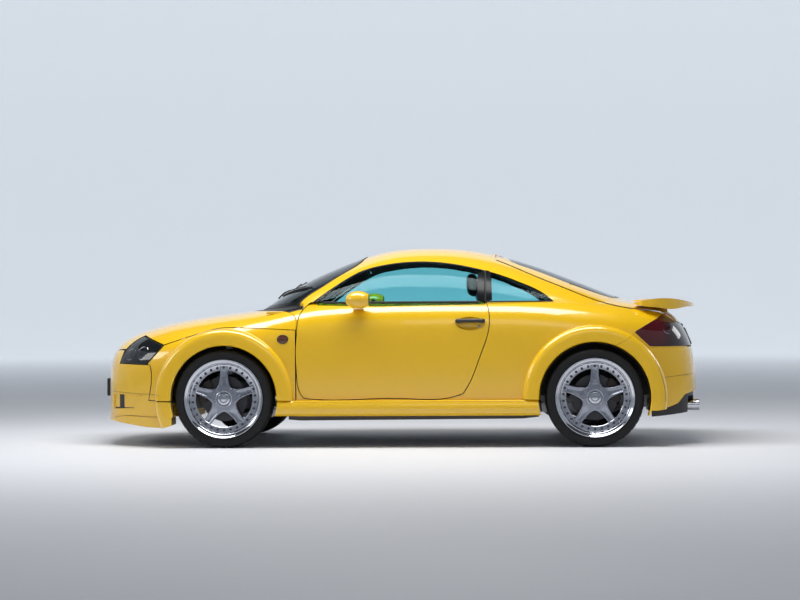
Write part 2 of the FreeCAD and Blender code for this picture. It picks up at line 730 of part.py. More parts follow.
def flare(axle):
    """Return a left wheel-arch flare as a whole ring."""
    proud = FLARE_HALF_WIDTH - FENDER_EDGE_Y
    base = AXLE_HEIGHT + ARCH_RADII[axle]
    points = [V(AXLES[axle], -FENDER_EDGE_Y - y * proud, base + r * FLARE_BAND)
              for r, y in FLARE_PROFILE_SHARES]
    crown = Part.BSplineCurve()
    crown.interpolate(points[1:])
    back = [points[-1], V(AXLES[axle], -FLARE_ROOT_Y, base + FLARE_BAND),
            V(AXLES[axle], -FLARE_ROOT_Y, base), points[0], points[1]]
    face = Part.Face(Part.Wire([crown.toShape()] + Part.makePolygon(back).Edges))
    return face.revolve(V(AXLES[axle], 0, AXLE_HEIGHT), V(0, 1, 0), 360)


def liner(axle, low_z):
    """Return a left wheel-well liner."""
    sheet = axle_cylinder(axle, WELL_RADIUS + LINER_WALL, -FENDER_EDGE_Y, LINER_WALL - WELL_INNER_Y)
    sheet = sheet.cut(axle_cylinder(axle, WELL_RADIUS, -FENDER_EDGE_Y, -WELL_INNER_Y))
    reach = WELL_RADIUS + LINER_WALL
    keep = block(V(AXLES[axle] - reach, -WIDE, low_z), V(AXLES[axle] + reach, 0, ROOF_HEIGHT))
    return sheet.common(keep)


def arm_window():
    """Return the opening in the left front liner for the upper arm and the half shaft."""
    half = WELL_RADIUS / 3
    return block(V(AXLE_FRONT_X - half, -WELL_INNER_Y - LINER_WALL, AXLE_HEIGHT - half),
                 V(AXLE_FRONT_X + half, 0, UPPER_ARM_Z + ARM_THICK + PANEL_GAP))


def skin(zone, flares):
    """Return the outer panel inside a zone on the left, with the flares that reach into it."""
    outer = BODY[0.0].common(zone).cut(BODY[PANEL_SKIN])
    parts = [outer] + [flare(axle).common(zone) for axle in flares]
    panel = joined(parts)
    for axle in flares:
        panel = panel.cut(well(axle, LINER_WALL))
    return panel.cut(UNDERSIDE)


FRONT_FLARE = flare("front")
REAR_FLARE = flare("rear")


def make_fender():
    zone = side_prism(FENDER_SHARES, -WIDE, -INNER_Y)
    return whole(skin(zone, ["front"]))


def openings(grow):
    """Return the openings of the front bumper as one cutter."""
    low = wheelbase_x(0) - FRONT_REACH - WIDE
    high = AXLE_FRONT_X - ARCH_RADII["front"] - FLARE_BAND
    side = front_prism(SIDE_INTAKE_SHARES, low, high, grow)
    return joined([front_prism(UPPER_GRILLE_SHARES, low, high, grow),
                   front_prism(LOWER_INTAKE_SHARES, low, high, grow), side, mirrored(side)])


def make_front_bumper():
    zone = side_prism(FRONT_BUMPER_SHARES, -WIDE, 0)
    half = skin(zone, ["front"])
    lip_zone = side_prism(LIP_SHARES, -WIDE, 0)
    lip = joined([hull(-LIP_PROUD).cut(hull(LIP_DEEP)), FRONT_FLARE]).common(lip_zone)
    lip = lip.cut(axle_cylinder("front", ARCH_RADII["front"], -WIDE, 0))
    bumper = both_sides(half.fuse(lip)).cut(openings(0.0)).removeSplitter()
    return bumper.cut(tow_rod(AXLE_FRONT_X - FRONT_REACH, TOW_HOLE_RADIUS))


def beam_front():
    """Return where the bumper beam's front face lies along the car."""
    return wheelbase_x(min(row[0] for row in FRAME_BOX_SHARES))


def tow_rod(low, radius):
    """Return a rod on the towing eye's line, from a place along the car to the bumper beam."""
    y, z = TOW_EYE_SHARES
    start = V(low, y * HALF_WIDTH, z * ROOF_HEIGHT)
    return rod(start, V(beam_front() + TOW_EYE_LONG / 2, start.y, start.z), radius)


def grille_zone(grow):
    """Return the room behind the bumper openings and the bars that join them."""
    high = AXLE_FRONT_X - ARCH_RADII["front"]
    low = high - FRONT_REACH
    bars = []
    for y, z0, z1 in GRILLE_BAR_SHARES:
        half = y * HALF_WIDTH + grow
        bars.append(block(V(low, -half, z0 * ROOF_HEIGHT - grow), V(high, half, z1 * ROOF_HEIGHT + grow)))
    return joined([openings(LID_WALL + grow)] + bars)


def make_grille():
    """Return the dark panel that closes the bumper openings from behind."""
    zone = side_prism(FRONT_BUMPER_SHARES, -WIDE, WIDE, -PANEL_GAP)
    panel = BODY[PANEL_SKIN].common(zone).cut(hull(PANEL_SKIN + GRILLE_DEEP))
    return panel.common(grille_zone(0.0)).cut(UNDERSIDE)


def make_front_frame():
    zone = side_prism(FRONT_FRAME_SHARES, -WIDE, 0)
    sides = BODY[PANEL_SKIN].common(zone).cut(BODY[SIDE_WALL]).cut(FRONT_FLARE)
    sides = sides.cut(well("front", LINER_WALL)).cut(headlight_zone(PANEL_GAP)).cut(UNDERSIDE)
    half = whole(joined([sides, liner("front", AXLE_HEIGHT).cut(arm_window())]))
    frame = both_sides(half).cut(grille_zone(PANEL_GAP))
    ribs = boxes(FRAME_BOX_SHARES).common(BODY[LAMP_DEEP])
    low = beam_front() - TOW_EYE_LONG / 2
    boss = joined([frame, ribs, tow_rod(low, TOW_BOSS_RADIUS)])
    return boss.cut(tow_rod(low, TOW_EYE_RADIUS))


def headlight_zone(grow):
    return side_prism(HEADLIGHT_SHARES, -WIDE, -INNER_Y, grow)


def make_headlight():
    return whole(BODY[0.0].cut(BODY[LAMP_DEEP]).common(headlight_zone(0.0)))


def tail_lamp_zone(grow):
    return side_prism(TAIL_LAMP_SHARES, -WIDE, grow - TAIL_LAMP_INNER_SHARE * HALF_WIDTH, grow)


def tail_corner():
    """Return the left rear corner that the tailgate leaves to the lamp and the bumper."""
    inner = PANEL_GAP - TAIL_LAMP_INNER_SHARE * HALF_WIDTH
    low = min(z for x, z in TAIL_LAMP_SHARES) * ROOF_HEIGHT
    below = block(V(AXLE_REAR_X, -WIDE, 0), V(AXLE_REAR_X + WIDE, inner, low))
    return joined([tail_lamp_zone(PANEL_GAP), below])


def tailgate_foot():
    """Return the left half of the gap in the rear bumper's top for the tailgate."""
    low = min(z for x, z in TAILGATE_SHARES) * ROOF_HEIGHT - PANEL_GAP
    return block(V(AXLE_REAR_X, -TAIL_LAMP_INNER_SHARE * HALF_WIDTH, low), V(AXLE_REAR_X + WIDE, 0, HIGH))


def make_tail_lamp():
    return whole(BODY[0.0].cut(BODY[LAMP_DEEP]).common(tail_lamp_zone(0.0)))


def hood_plan(grow):
    """Return the space in front of the bonnet's rear edge."""
    low = wheelbase_x(0) - FRONT_REACH - WIDE
    points = [V(wheelbase_x(x), y * HALF_WIDTH, 0) for x, y in HOOD_REAR_SHARES]
    mirror = [V(p.x, -p.y, 0) for p in reversed(points[1:])]
    curve = Part.BSplineCurve()
    curve.interpolate(mirror + points)
    far = points[-1].y
    sides = Part.makePolygon([points[-1], V(low, far, 0), V(low, -far, 0), mirror[0]])
    face = Part.Face(Part.Wire([curve.toShape()] + sides.Edges))
    return face.extrude(V(0, 0, HIGH)).translated(V(grow, 0, 0))


def hood_hinge():
    x, z = HOOD_HINGE_SHARES
    return V(wheelbase_x(x), -HOOD_HINGE_Y, z * ROOF_HEIGHT)


def make_hood():
    zone = side_prism(HOOD_SHARES, -WIDE, WIDE)
    lid = BODY[0.0].cut(BODY[LID_WALL]).common(zone).common(hood_plan(0.0))
    pin = hood_hinge()
    half_wide = HOOD_ARM_WIDE / 2
    root = V(wheelbase_x(HOOD_ARM_SHARE), pin.y - half_wide, pin.z - BOSS_RADIUS)
    under = hull(LID_WALL / 2).common(hood_plan(-PANEL_GAP))
    arm = block(root, V(pin.x, pin.y + half_wide, pin.z + 2 * BOSS_RADIUS))
    arm = arm.common(joined([under, arm_bar(pin, root.x)]))
    boss = rod(pin - V(0, half_wide, 0), pin + V(0, half_wide, 0), BOSS_RADIUS)
    hole = rod(pin - V(0, WIDE, 0), pin + V(0, WIDE, 0), PIN_RADIUS + PIN_PLAY)
    arm = joined([arm, boss]).cut(hole)
    return joined([lid, arm, mirrored(arm)])


def arm_bar(pin, start_x):
    """Return the straight bar of a bonnet arm."""
    return block(V(start_x, pin.y - HOOD_ARM_WIDE, pin.z - BOSS_RADIUS),
                 V(pin.x, pin.y + HOOD_ARM_WIDE, pin.z + BOSS_RADIUS))


def hood_slot():
    """Return the slot in the scuttle for a bonnet arm on the left."""
    pin = hood_hinge()
    half_wide = HOOD_ARM_WIDE / 2 + PANEL_GAP
    return block(V(wheelbase_x(0), pin.y - half_wide, pin.z - BOSS_RADIUS - PANEL_GAP),
                 V(pin.x + BOSS_RADIUS + PANEL_GAP, pin.y + half_wide, ROOF_HEIGHT))


def hood_pin():
    pin = hood_hinge()
    half_wide = HOOD_ARM_WIDE / 2 + 2 * PANEL_GAP
    return rod(pin - V(0, half_wide, 0), pin + V(0, half_wide, 0), PIN_RADIUS)


def windscreen_block():
    zone = side_prism(WINDSCREEN_SHARES, -WIDE, WIDE)
    return HOUSE[0.0].common(zone).cut(BODY[0.0])


def side_glass_zone(grow):
    return side_prism(SIDE_GLASS_SHARES, -WIDE, -INNER_Y, grow)


def rear_glass_zone(grow):
    points = REAR_GLASS_SHARES + [(x, -y) for x, y in reversed(REAR_GLASS_SHARES[1:-1])]
    return plan_prism(points, REAR_GLASS_LOW_SHARE * ROOF_HEIGHT, HIGH, grow)


def make_body_shell():
    shell = joined([BODY[0.0], HOUSE[0.0]]).cut(ROOM)
    end_share, low_share = SCUTTLE_SHARES
    end = wheelbase_x(end_share)
    behind = block(V(end, -WIDE, 0), V(AXLE_REAR_X + WIDE, WIDE, HIGH))
    scuttle = block(V(wheelbase_x(0), -WIDE, low_share * ROOF_HEIGHT), V(end, WIDE, HIGH))
    scuttle = scuttle.cut(hood_plan(PANEL_GAP))
    shell = shell.common(joined([behind, scuttle]))
    shell = shell.cut(windscreen_block())
    shell = shell.cut(side_prism(TAILGATE_SHARES, -WIDE, WIDE, PANEL_GAP))
    rear_zone = side_prism(REAR_BUMPER_SHARES, -WIDE, WIDE).cut(BODY[PANEL_SKIN])
    shell = shell.cut(rear_zone).cut(cowl_zone().cut(BODY[LID_WALL]))
    half_space = block(V(-REACH, -WIDE, 0), V(REACH, 0, HIGH))
    half = shell.common(half_space)
    keep = block(V(-REACH, -WIDE, RING_LOW_SHARE * ROOF_HEIGHT), V(AXLE_REAR_X + WIDE, 0, ROOF_HEIGHT))
    ring = REAR_FLARE.common(keep).cut(side_prism(REAR_BUMPER_SHARES, -WIDE, WIDE))
    half = half.cut(REAR_FLARE).fuse(ring)
    door_space = side_prism(DOOR_OUTLINE_SHARES, -WIDE, -INNER_Y, PANEL_GAP)
    half = half.cut(side_glass_zone(0.0)).cut(door_space)
    half = half.cut(well("rear", LINER_WALL)).cut(tail_lamp_zone(0.0)).cut(UNDERSIDE)
    half = whole(half.cut(hood_slot()))
    post = boxes(HINGE_POST_BOX_SHARES)
    half = joined([half, post, hood_pin()] + door_straps())
    return joined([both_sides(half).cut(joined(tailgate_pockets(1)))] + tailgate_side(-1))


def cowl_zone():
    """Return the space of the dark scuttle panel, seen from above."""
    rear = [(x, y) for x, y in COWL_REAR_SHARES]
    points = rear + [(0, rear[-1][1]), (0, -rear[-1][1])] + [(x, -y) for x, y in reversed(rear[1:])]
    zone = plan_prism(points, SCUTTLE_SHARES[1] * ROOF_HEIGHT, ROOF_HEIGHT)
    return zone.cut(hood_plan(PANEL_GAP))


def make_cowl():
    panel = BODY[0.0].cut(BODY[LID_WALL]).common(cowl_zone()).cut(HOUSE[0.0])
    for cutter in (hood_slot(), hood_pin()):
        panel = panel.cut(cutter).cut(mirrored(cutter))
    return whole(panel)


def door_hinge():
    x = min(x for x, z in DOOR_OUTLINE_SHARES)
    return V(wheelbase_x(x) + DOOR_HINGE_X, -DOOR_HINGE_Y, 0)


def door_straps():
    """Return the straps and pins of a left door that stand on the pillar."""
    pin = door_hinge()
    solids = []
    post_y = max(row[2] for row in HINGE_POST_BOX_SHARES) * HALF_WIDTH
    half = STRAP_THICK / 2
    for share in HINGE_HEIGHT_SHARES:
        centre = V(pin.x, pin.y, share * ROOF_HEIGHT)
        rise = V(0, 0, HINGE_TALL / 6)
        solids.append(block(centre - rise - V(half, 0, 0), V(pin.x + half, post_y + half, centre.z + rise.z)))
        solids.append(rod(centre - rise, centre + rise, BOSS_RADIUS))
        solids.append(rod(centre - rise * 3, centre + rise * 3, PIN_RADIUS))
    return solids


def door_brackets():
    """Return the knuckles of a left door, above and below each strap."""
    pin = door_hinge()
    solids = []
    for share in HINGE_HEIGHT_SHARES:
        z = share * ROOF_HEIGHT
        for low in (z - HINGE_TALL / 2, z + HINGE_TALL / 6 + PIN_PLAY):
            high = low + HINGE_TALL / 3 - PIN_PLAY
            boss = rod(V(pin.x, pin.y, low), V(pin.x, pin.y, high), BOSS_RADIUS)
            root = pin.x + DOOR_BOX_START + BOSS_RADIUS
            arm = block(V(pin.x, pin.y - BOSS_RADIUS, low), V(root, pin.y, high))
            hole = rod(V(pin.x, pin.y, 0), V(pin.x, pin.y, ROOF_HEIGHT), PIN_RADIUS + PIN_PLAY)
            solids.append(joined([boss, arm]).cut(hole))
    return solids


def make_door():
    pin = door_hinge()
    zone = side_prism(DOOR_OUTLINE_SHARES, -WIDE, -INNER_Y)
    panel = BODY[0.0].common(zone).cut(ROOM)
    front = block(V(-REACH, -WIDE, 0), V(pin.x + DOOR_BOX_START, 0, HIGH))
    panel = panel.cut(BODY[DOOR_FLANGE].common(front)).cut(door_glass_block())
    hollow, bar = handle()
    return joined([panel.cut(hollow), bar] + door_brackets())


def egg(centre, radii):
    """Return a ball that is stretched along each axis."""
    matrix = FreeCAD.Matrix()
    matrix.scale(*radii)
    return Part.makeSphere(1, V(0, 0, 0)).transformGeometry(matrix).translated(centre)


def handle():
    """Return the hollow behind a left door handle, and the bar across it."""
    x_share, z_share = HANDLE_SHARES
    x = wheelbase_x(x_share)
    z = z_share * ROOF_HEIGHT
    centre = V(x, -side_of(BODY[0.0], x, z), z)
    reach = V(HANDLE_RADII[0] + HANDLE_BAR_RADIUS, 0, 0)
    line = centre + V(0, HANDLE_BAR_RADIUS / 2, HANDLE_BAR_RADIUS)
    return egg(centre, HANDLE_RADII), rod(line - reach, line + reach, HANDLE_BAR_RADIUS)


def door_glass_block():
    """Return the left door window down to its foot inside the door."""
    sheet = HOUSE[0.0].cut(HOUSE[GLASS_WALL])
    rear = wheelbase_x(REAR_PILLAR_SHARE) - PANEL_GAP
    upper = sheet.common(side_glass_zone(-PANEL_GAP))
    front = wheelbase_x(min(x for x, z in SIDE_GLASS_SHARES)) + GLASS_TUCK
    sill = min(z for x, z in SIDE_GLASS_SHARES) * ROOF_HEIGHT
    foot = block(V(front, -WIDE, sill - GLASS_TUCK), V(rear, -INNER_Y, sill + 2 * PANEL_GAP))
    foot = sheet.common(foot)
    keep = block(V(-REACH, -WIDE, 0), V(rear, 0, HIGH))
    return joined([upper.common(keep), foot.common(keep)])


def make_quarter_window():
    sheet = HOUSE[0.0].cut(HOUSE[GLASS_WALL]).common(side_glass_zone(0.0))
    keep = block(V(wheelbase_x(REAR_PILLAR_SHARE), -WIDE, 0), V(REACH, 0, HIGH))
    return sheet.common(keep)


def make_windscreen():
    return whole(windscreen_block().cut(HOUSE[GLASS_WALL]))


def make_rear_glass():
    sheet = HOUSE[0.0].cut(HOUSE[GLASS_WALL]).common(rear_glass_zone(0.0))
    return whole(sheet.cut(BODY[0.0]))


def tailgate_hinge():
    x = wheelbase_x(min(x for x, z in TAILGATE_SHARES)) - PANEL_GAP / 2
    return V(x, 0, height_of(HOUSE[0.0], x, 0))


def tailgate_spans(way):
    """Return the stretches of a hinge that the roof holds or, with the way turned, the tailgate."""
    half = TAILGATE_BOSS_WIDE / 2
    if way > 0:
        return [(-half, half)]
    return [(half + PIN_PLAY, 2 * half), (-2 * half, -half - PIN_PLAY)]


def tailgate_pockets(way):
    """Return the round pockets that clear the other side's knuckles."""
    pin = tailgate_hinge()
    solids = []
    for y in (-TAILGATE_HINGE_Y, TAILGATE_HINGE_Y):
        for start, end in tailgate_spans(way):
            low = V(pin.x, y + start - KNUCKLE_ROOM, pin.z)
            high = V(pin.x, y + end + KNUCKLE_ROOM, pin.z)
            solids.append(rod(low, high, TAILGATE_BOSS_RADIUS + KNUCKLE_ROOM))
    return solids


def tailgate_leaf(start, end, way):
    """Return the leaf of one knuckle, reaching along the car."""
    pin = tailgate_hinge()
    reach = way * (PANEL_GAP + TAILGATE_BOSS_RADIUS)
    low = V(min(pin.x, pin.x + reach), start, pin.z - 2 * TAILGATE_BOSS_RADIUS)
    high = V(max(pin.x, pin.x + reach), end, pin.z)
    return block(low, high)


def tailgate_side(way):
    """Return the hinge solids of the roof or, with the way turned, of the tailgate."""
    pin = tailgate_hinge()
    solids = []
    for y in (-TAILGATE_HINGE_Y, TAILGATE_HINGE_Y):
        for start, end in tailgate_spans(way):
            solids.append(rod(V(pin.x, y + start, pin.z), V(pin.x, y + end, pin.z), TAILGATE_BOSS_RADIUS))
            solids.append(tailgate_leaf(y + start, y + end, way))
        if way < 0:
            wide = V(0, TAILGATE_BOSS_WIDE, 0)
            centre = pin + V(0, y, 0)
            solids.append(rod(centre - wide, centre + wide, TAILGATE_PIN_RADIUS))
    return solids


def make_tailgate():
    outer = joined([BODY[0.0], HOUSE[0.0]])
    inner = joined([BODY[LID_WALL], HOUSE[LID_WALL]])
    lid = outer.common(side_prism(TAILGATE_SHARES, -WIDE, WIDE)).cut(inner)
    corner = tail_corner()
    lid = whole(lid.cut(rear_glass_zone(0.0)).cut(corner).cut(mirrored(corner)))
    pin = tailgate_hinge()
    hole = rod(pin - V(0, WIDE, 0), pin + V(0, WIDE, 0), TAILGATE_PIN_RADIUS + PIN_PLAY)
    lid = lid.cut(joined(tailgate_pockets(-1)))
    return joined([lid] + tailgate_side(1)).cut(hole)


def make_rear_bumper():
    zone = side_prism(REAR_BUMPER_SHARES, -WIDE, 0, -PANEL_GAP / 4).cut(tailgate_foot())
    return both_sides(skin(zone, ["rear"]))


def make_apron():
    band = hull(APRON_SET_IN).cut(hull(SIDE_WALL)).common(side_prism(APRON_SHARES, -WIDE, WIDE))
    return whole(band.common(UNDERSIDE).cut(boxes(APRON_NOTCH_BOX_SHARES)))


def make_skirt():
    bar = front_prism(SKIRT_SHARES, AXLE_FRONT_X, AXLE_REAR_X)
    bar = bar.cut(BODY[0.0])
    for axle in AXLES:
        bar = bar.cut(axle_cylinder(axle, ARCH_RADII[axle] + PANEL_GAP, -WIDE, 0))
    return whole(bar)


def make_floor():
    pan = boxes(FLOOR_BOX_SHARES).common(BODY[SIDE_WALL]).cut(boxes(TUNNEL_BOX_SHARES))
    rear = well("rear", LINER_WALL)
    pan = pan.cut(rear).cut(mirrored(rear))
    lining = liner("rear", AXLE_HEIGHT)
    front = well("front", LINER_WALL)
    pan = pan.cut(front).cut(mirrored(front))
    for ring in (FRONT_FLARE, REAR_FLARE):
        pan = pan.cut(ring).cut(mirrored(ring))
    return joined([pan, lining, mirrored(lining)])


def flap_centre():
    x, z = FLAP_SHARES
    return V(wheelbase_x(x), 0, z * ROOF_HEIGHT)


def flap_hinge():
    """Return a point on the fuel flap's hinge line and the line's direction."""
    centre = flap_centre()
    x = centre.x - FLAP_RADIUS - FLAP_PIN_RADIUS / 2
    points = [V(x, side_of(BODY[0.0], x, centre.z + step), centre.z + step)
              for step in (-FLAP_BOSS_LONG, FLAP_BOSS_LONG)]
    line = points[1] - points[0]
    line.normalize()
    return (points[0] + points[1]) * 0.5, line


def flap_round(radius):
    return Part.makeCylinder(radius, WIDE, flap_centre(), V(0, 1, 0))


def make_flap():
    """Return the round fuel flap of the right rear wing, with its knuckle."""
    point, line = flap_hinge()
    cover = whole(BODY[0.0].common(flap_round(FLAP_RADIUS)).cut(BODY[PANEL_SKIN]))
    half = line * (FLAP_BOSS_LONG / 2)
    boss = rod(point - half, point + half, FLAP_BOSS_RADIUS)
    hole = rod(point - line * FLAP_RADIUS, point + line * FLAP_RADIUS, FLAP_PIN_RADIUS + PIN_PLAY)
    return joined([cover, boss]).cut(hole)


def flap_pin():
    point, line = flap_hinge()
    half = line * (FLAP_RADIUS / 2)
    return rod(point - half, point + half, FLAP_PIN_RADIUS)


def flap_pocket():
    return flap_round(FLAP_RADIUS + PANEL_GAP).cut(hull(FLAP_POCKET))


def wheel_point(axle, y, radius, angle):
    """Return a point on a wheel, by its angle from straight up."""
    return V(AXLES[axle] + radius * math.sin(angle), y, AXLE_HEIGHT + radius * math.cos(angle))


def wheel_window(axle, y):
    """Return the room between two spokes: straight beside them and round at both ends."""
    outer, waist, inner = WINDOW_RADII
    middle = math.pi / SPOKE_COUNT
    wide = middle - math.asin(SPOKE_TIP / 2 / outer)
    close = middle - math.asin(SPOKE_ROOT / 2 / waist)
    tips = [wheel_point(axle, y, outer, middle + way * wide) for way in (-1, 1)]
    roots = [wheel_point(axle, y, waist, middle + way * close) for way in (-1, 1)]
    rim_arc = Part.Arc(tips[0], wheel_point(axle, y, outer, middle), tips[1]).toShape()
    hub_arc = Part.Arc(roots[1], wheel_point(axle, y, inner, middle), roots[0]).toShape()
    sides = [Part.makeLine(tips[1], roots[1]), Part.makeLine(roots[0], tips[0])]
    return Part.Face(Part.Wire([rim_arc, sides[0], hub_arc, sides[1]])).extrude(V(0, SPOKE_DEEP, 0))


def spoke_pocket(axle, y):
    """Return the shallow pocket in the face of a spoke."""
    outer, waist, inner = WINDOW_RADII
    wide = SPOKE_ROOT / 2 - SPOKE_BORDER
    slim = SPOKE_TIP / 2 - SPOKE_BORDER
    low = AXLE_HEIGHT + inner + SPOKE_BORDER
    high = AXLE_HEIGHT + outer - SPOKE_BORDER
    x = AXLES[axle]
    points = [V(x - wide, y, low), V(x + wide, y, low), V(x + slim, y, high), V(x - slim, y, high)]
    return Part.Face(Part.makePolygon(points + points[:1])).extrude(V(0, SPOKE_POCKET, 0))


def rim_barrel(axle, outer, inner):
    """Return the rim of a wheel with its two flanges, and a stepped lip on the outside."""
    lip = RIM_LIP_WIDE
    profile = [(RIM_BORE_RADIUS, inner), (RIM_LIP_RADIUS, inner), (RIM_LIP_RADIUS, inner - lip),
               (RIM_SEAT_RADIUS, inner - lip), (RIM_SEAT_RADIUS, outer + lip),
               (RIM_LIP_RADIUS, outer + lip), (RIM_LIP_RADIUS, outer), (RIM_LIP_RADIUS - lip, outer),
               (RIM_SEAT_RADIUS, outer + RIM_STEP), (RIM_SEAT_RADIUS - RIM_STEP, outer + RIM_STEP),
               (RIM_BORE_RADIUS, outer + 3 * lip)]
    points = [V(AXLES[axle], y, AXLE_HEIGHT + r) for r, y in profile]
    face = Part.Face(Part.makePolygon(points + points[:1]))
    return face.revolve(V(AXLES[axle], 0, AXLE_HEIGHT), V(0, 1, 0), 360)


def make_rim(axle):
    """Return a left wheel with its spoked face, hub and brake disc."""
    outer = -WHEEL_CENTRE_Y - TYRE_WIDTH / 2
    face_y = outer + SPOKE_FACE
    star = axle_cylinder(axle, RIM_BORE_RADIUS + RIM_LIP_WIDE / 2, face_y, face_y + SPOKE_DEEP)
    cutters = []
    for number in range(SPOKE_COUNT):
        for cutter in (wheel_window(axle, face_y), spoke_pocket(axle, face_y)):
            cutter.rotate(V(AXLES[axle], 0, AXLE_HEIGHT), V(0, 1, 0), 360 / SPOKE_COUNT * number)
            cutters.append(cutter)
    hub = axle_cylinder(axle, HUB_RADIUS, face_y + SPOKE_DEEP / 2, DISC_THICK - DISC_Y)
    disc = axle_cylinder(axle, DISC_RADIUS, -DISC_Y, DISC_THICK - DISC_Y)
    cap = axle_cylinder(axle, CAP_RADIUS, face_y - CAP_PROUD, face_y + SPOKE_DEEP)
    wheel = joined([rim_barrel(axle, outer, outer + TYRE_WIDTH), star.cut(cutters), hub, disc, cap])
    return wheel.cut(axle_cylinder(axle, HUB_BORE + PIN_PLAY, SPOKE_FACE * 2 + outer, 0))


def make_tyre(axle):
    x = AXLES[axle]
    half = TYRE_WIDTH / 2
    bead = half - RIM_LIP_WIDE
    side = TYRE_RADIUS - 2 * TYRE_SHOULDER
    profile = [(RIM_SEAT_RADIUS, -bead), (RIM_LIP_RADIUS, -bead), (side, -half),
               (TYRE_RADIUS - TYRE_SHOULDER, TYRE_CROWN - half),
               (TYRE_RADIUS - TYRE_SHOULDER / 4, TYRE_SHOULDER - half),
               (TYRE_RADIUS, 2 * TYRE_SHOULDER - half)]
    profile += [(r, -y) for r, y in reversed(profile)]
    points = [V(x, y - WHEEL_CENTRE_Y, AXLE_HEIGHT + r) for r, y in profile]
    ring = Part.Face(Part.makePolygon(points + points[:1]))
    return ring.revolve(V(x, 0, AXLE_HEIGHT), V(0, 1, 0), 360)


def kingpin():
    return V(AXLE_FRONT_X, KINGPIN_OFFSET - WHEEL_CENTRE_Y, 0)


def make_knuckle():
    """Return the left front upright between its arms, with the hub stub and the shaft joint."""
    pin = kingpin()
    half = UPRIGHT_THICK / 2
    low = LOWER_ARM_Z + ARM_THICK + PIN_PLAY
    high = UPPER_ARM_Z - PIN_PLAY
    solids = [block(V(pin.x - half, -UPRIGHT_OUTER_Y, low), V(pin.x + half, -UPRIGHT_INNER_Y, high))]
    for z in (low, high - ARM_THICK):
        ear = V(pin.x + half, -UPRIGHT_INNER_Y, z + ARM_THICK)
        solids.append(block(V(pin.x - half, pin.y - half / 2, z), ear))
    solids.append(axle_cylinder("front", HUB_BORE, -WHEEL_CENTRE_Y - DISC_THICK, -UPRIGHT_INNER_Y))
    solids.append(axle_cylinder("front", UPRIGHT_THICK, -UPRIGHT_OUTER_Y, ARM_THICK - UPRIGHT_INNER_Y))
    upright = joined(solids)
    for z in (low, high - ARM_THICK):
        foot = V(pin.x, pin.y, z)
        upright = upright.cut(rod(foot, foot + V(0, 0, ARM_THICK), KINGPIN_RADIUS + PIN_PLAY))
    return upright


def make_front_suspension():
    pin = kingpin()
    lower = plan_prism(LOWER_ARM_SHARES, LOWER_ARM_Z, LOWER_ARM_Z + ARM_THICK)
    upper = plan_prism(UPPER_ARM_SHARES, UPPER_ARM_Z, UPPER_ARM_Z + ARM_THICK)
    rise = V(0, 0, ARM_THICK)
    low = V(pin.x, pin.y, LOWER_ARM_Z + ARM_THICK / 2)
    high = V(pin.x, pin.y, UPPER_ARM_Z + ARM_THICK / 2)
    pins = [rod(low, low + rise, KINGPIN_RADIUS), rod(high - rise, high, KINGPIN_RADIUS)]
    top = AXLE_HEIGHT + math.sqrt(WELL_RADIUS ** 2 - SPRING_RADIUS ** 2) - SEAT_REST
    spring = rod(V(pin.x, -SPRING_Y, high.z), V(pin.x, -SPRING_Y, top), SPRING_RADIUS)
    x = pin.x + DAMPER_X
    damper = rod(V(x, -DAMPER_Y, low.z), V(x, -DAMPER_Y, high.z), DAMPER_RADIUS)
    half = joined([lower, upper, spring, damper] + pins)
    shaft = axle_cylinder("front", SHAFT_RADIUS, -SHAFT_END_Y, -SHAFT_START_Y)
    frame = boxes(SUBFRAME_BOX_SHARES)
    return joined([frame, half, mirrored(half)]), shaft


def make_rear_suspension():
    arm = boxes(REAR_ARM_BOX_SHARES)
    x = wheelbase_x(BEAM_X_SHARE)
    beam = rod(V(x, -SPRING_Y, BEAM_Z), V(x, SPRING_Y, BEAM_Z), BEAM_RADIUS)
    stub = axle_cylinder("rear", HUB_BORE, -WHEEL_CENTRE_Y - DISC_THICK, -SPRING_Y)
    floor_z = max(row[4] for row in FLOOR_BOX_SHARES) * ROOF_HEIGHT
    spring = rod(V(x, -REAR_SPRING_Y, BEAM_Z), V(x, -REAR_SPRING_Y, floor_z), SPRING_RADIUS)
    half = joined([arm, stub, spring])
    return joined([beam, half, mirrored(half)])


def make_exhaust():
    path = [V(wheelbase_x(x), y * HALF_WIDTH, z * ROOF_HEIGHT) for x, y, z in PIPE_SHARES]
    solids = [rod(start, end, PIPE_RADIUS) for start, end in zip(path, path[1:])]
    solids += [Part.makeSphere(PIPE_RADIUS, point) for point in path[1:-1]]
    solids.append(boxes(MUFFLER_BOX_SHARES))
    start, middle, end = [wheelbase_x(share) for share in TIP_X_SHARES]
    z = TIP_Z_SHARE * ROOF_HEIGHT
    bores = []
    for share in TIP_Y_SHARES:
        y = share * HALF_WIDTH
        solids.append(rod(V(start, y, z), V(end, y, z), TIP_RADIUS))
        bores.append(rod(V(middle, y, z), V(end + TIP_WALL, y, z), TIP_RADIUS - TIP_WALL))
    return joined(solids).cut(joined(bores))


def make_engine():
    return boxes(ENGINE_BOX_SHARES)


def column_line():
    angle = math.radians(COLUMN_TILT)
    x, z = COLUMN_SHARES
    centre = V(wheelbase_x(x), -SEAT_Y, z * ROOF_HEIGHT)
    return centre, V(math.cos(angle), 0, math.sin(angle))


def make_dashboard():
    centre, line = column_line()
    column = rod(centre - line * (WHEEL_RIM_RADIUS * 2), centre - line * COLUMN_RADIUS, COLUMN_RADIUS)
    board = side_prism(DASHBOARD_SHARES, -DASHBOARD_Y, DASHBOARD_Y)
    return joined([board, boxes(CONSOLE_BOX_SHARES), column])


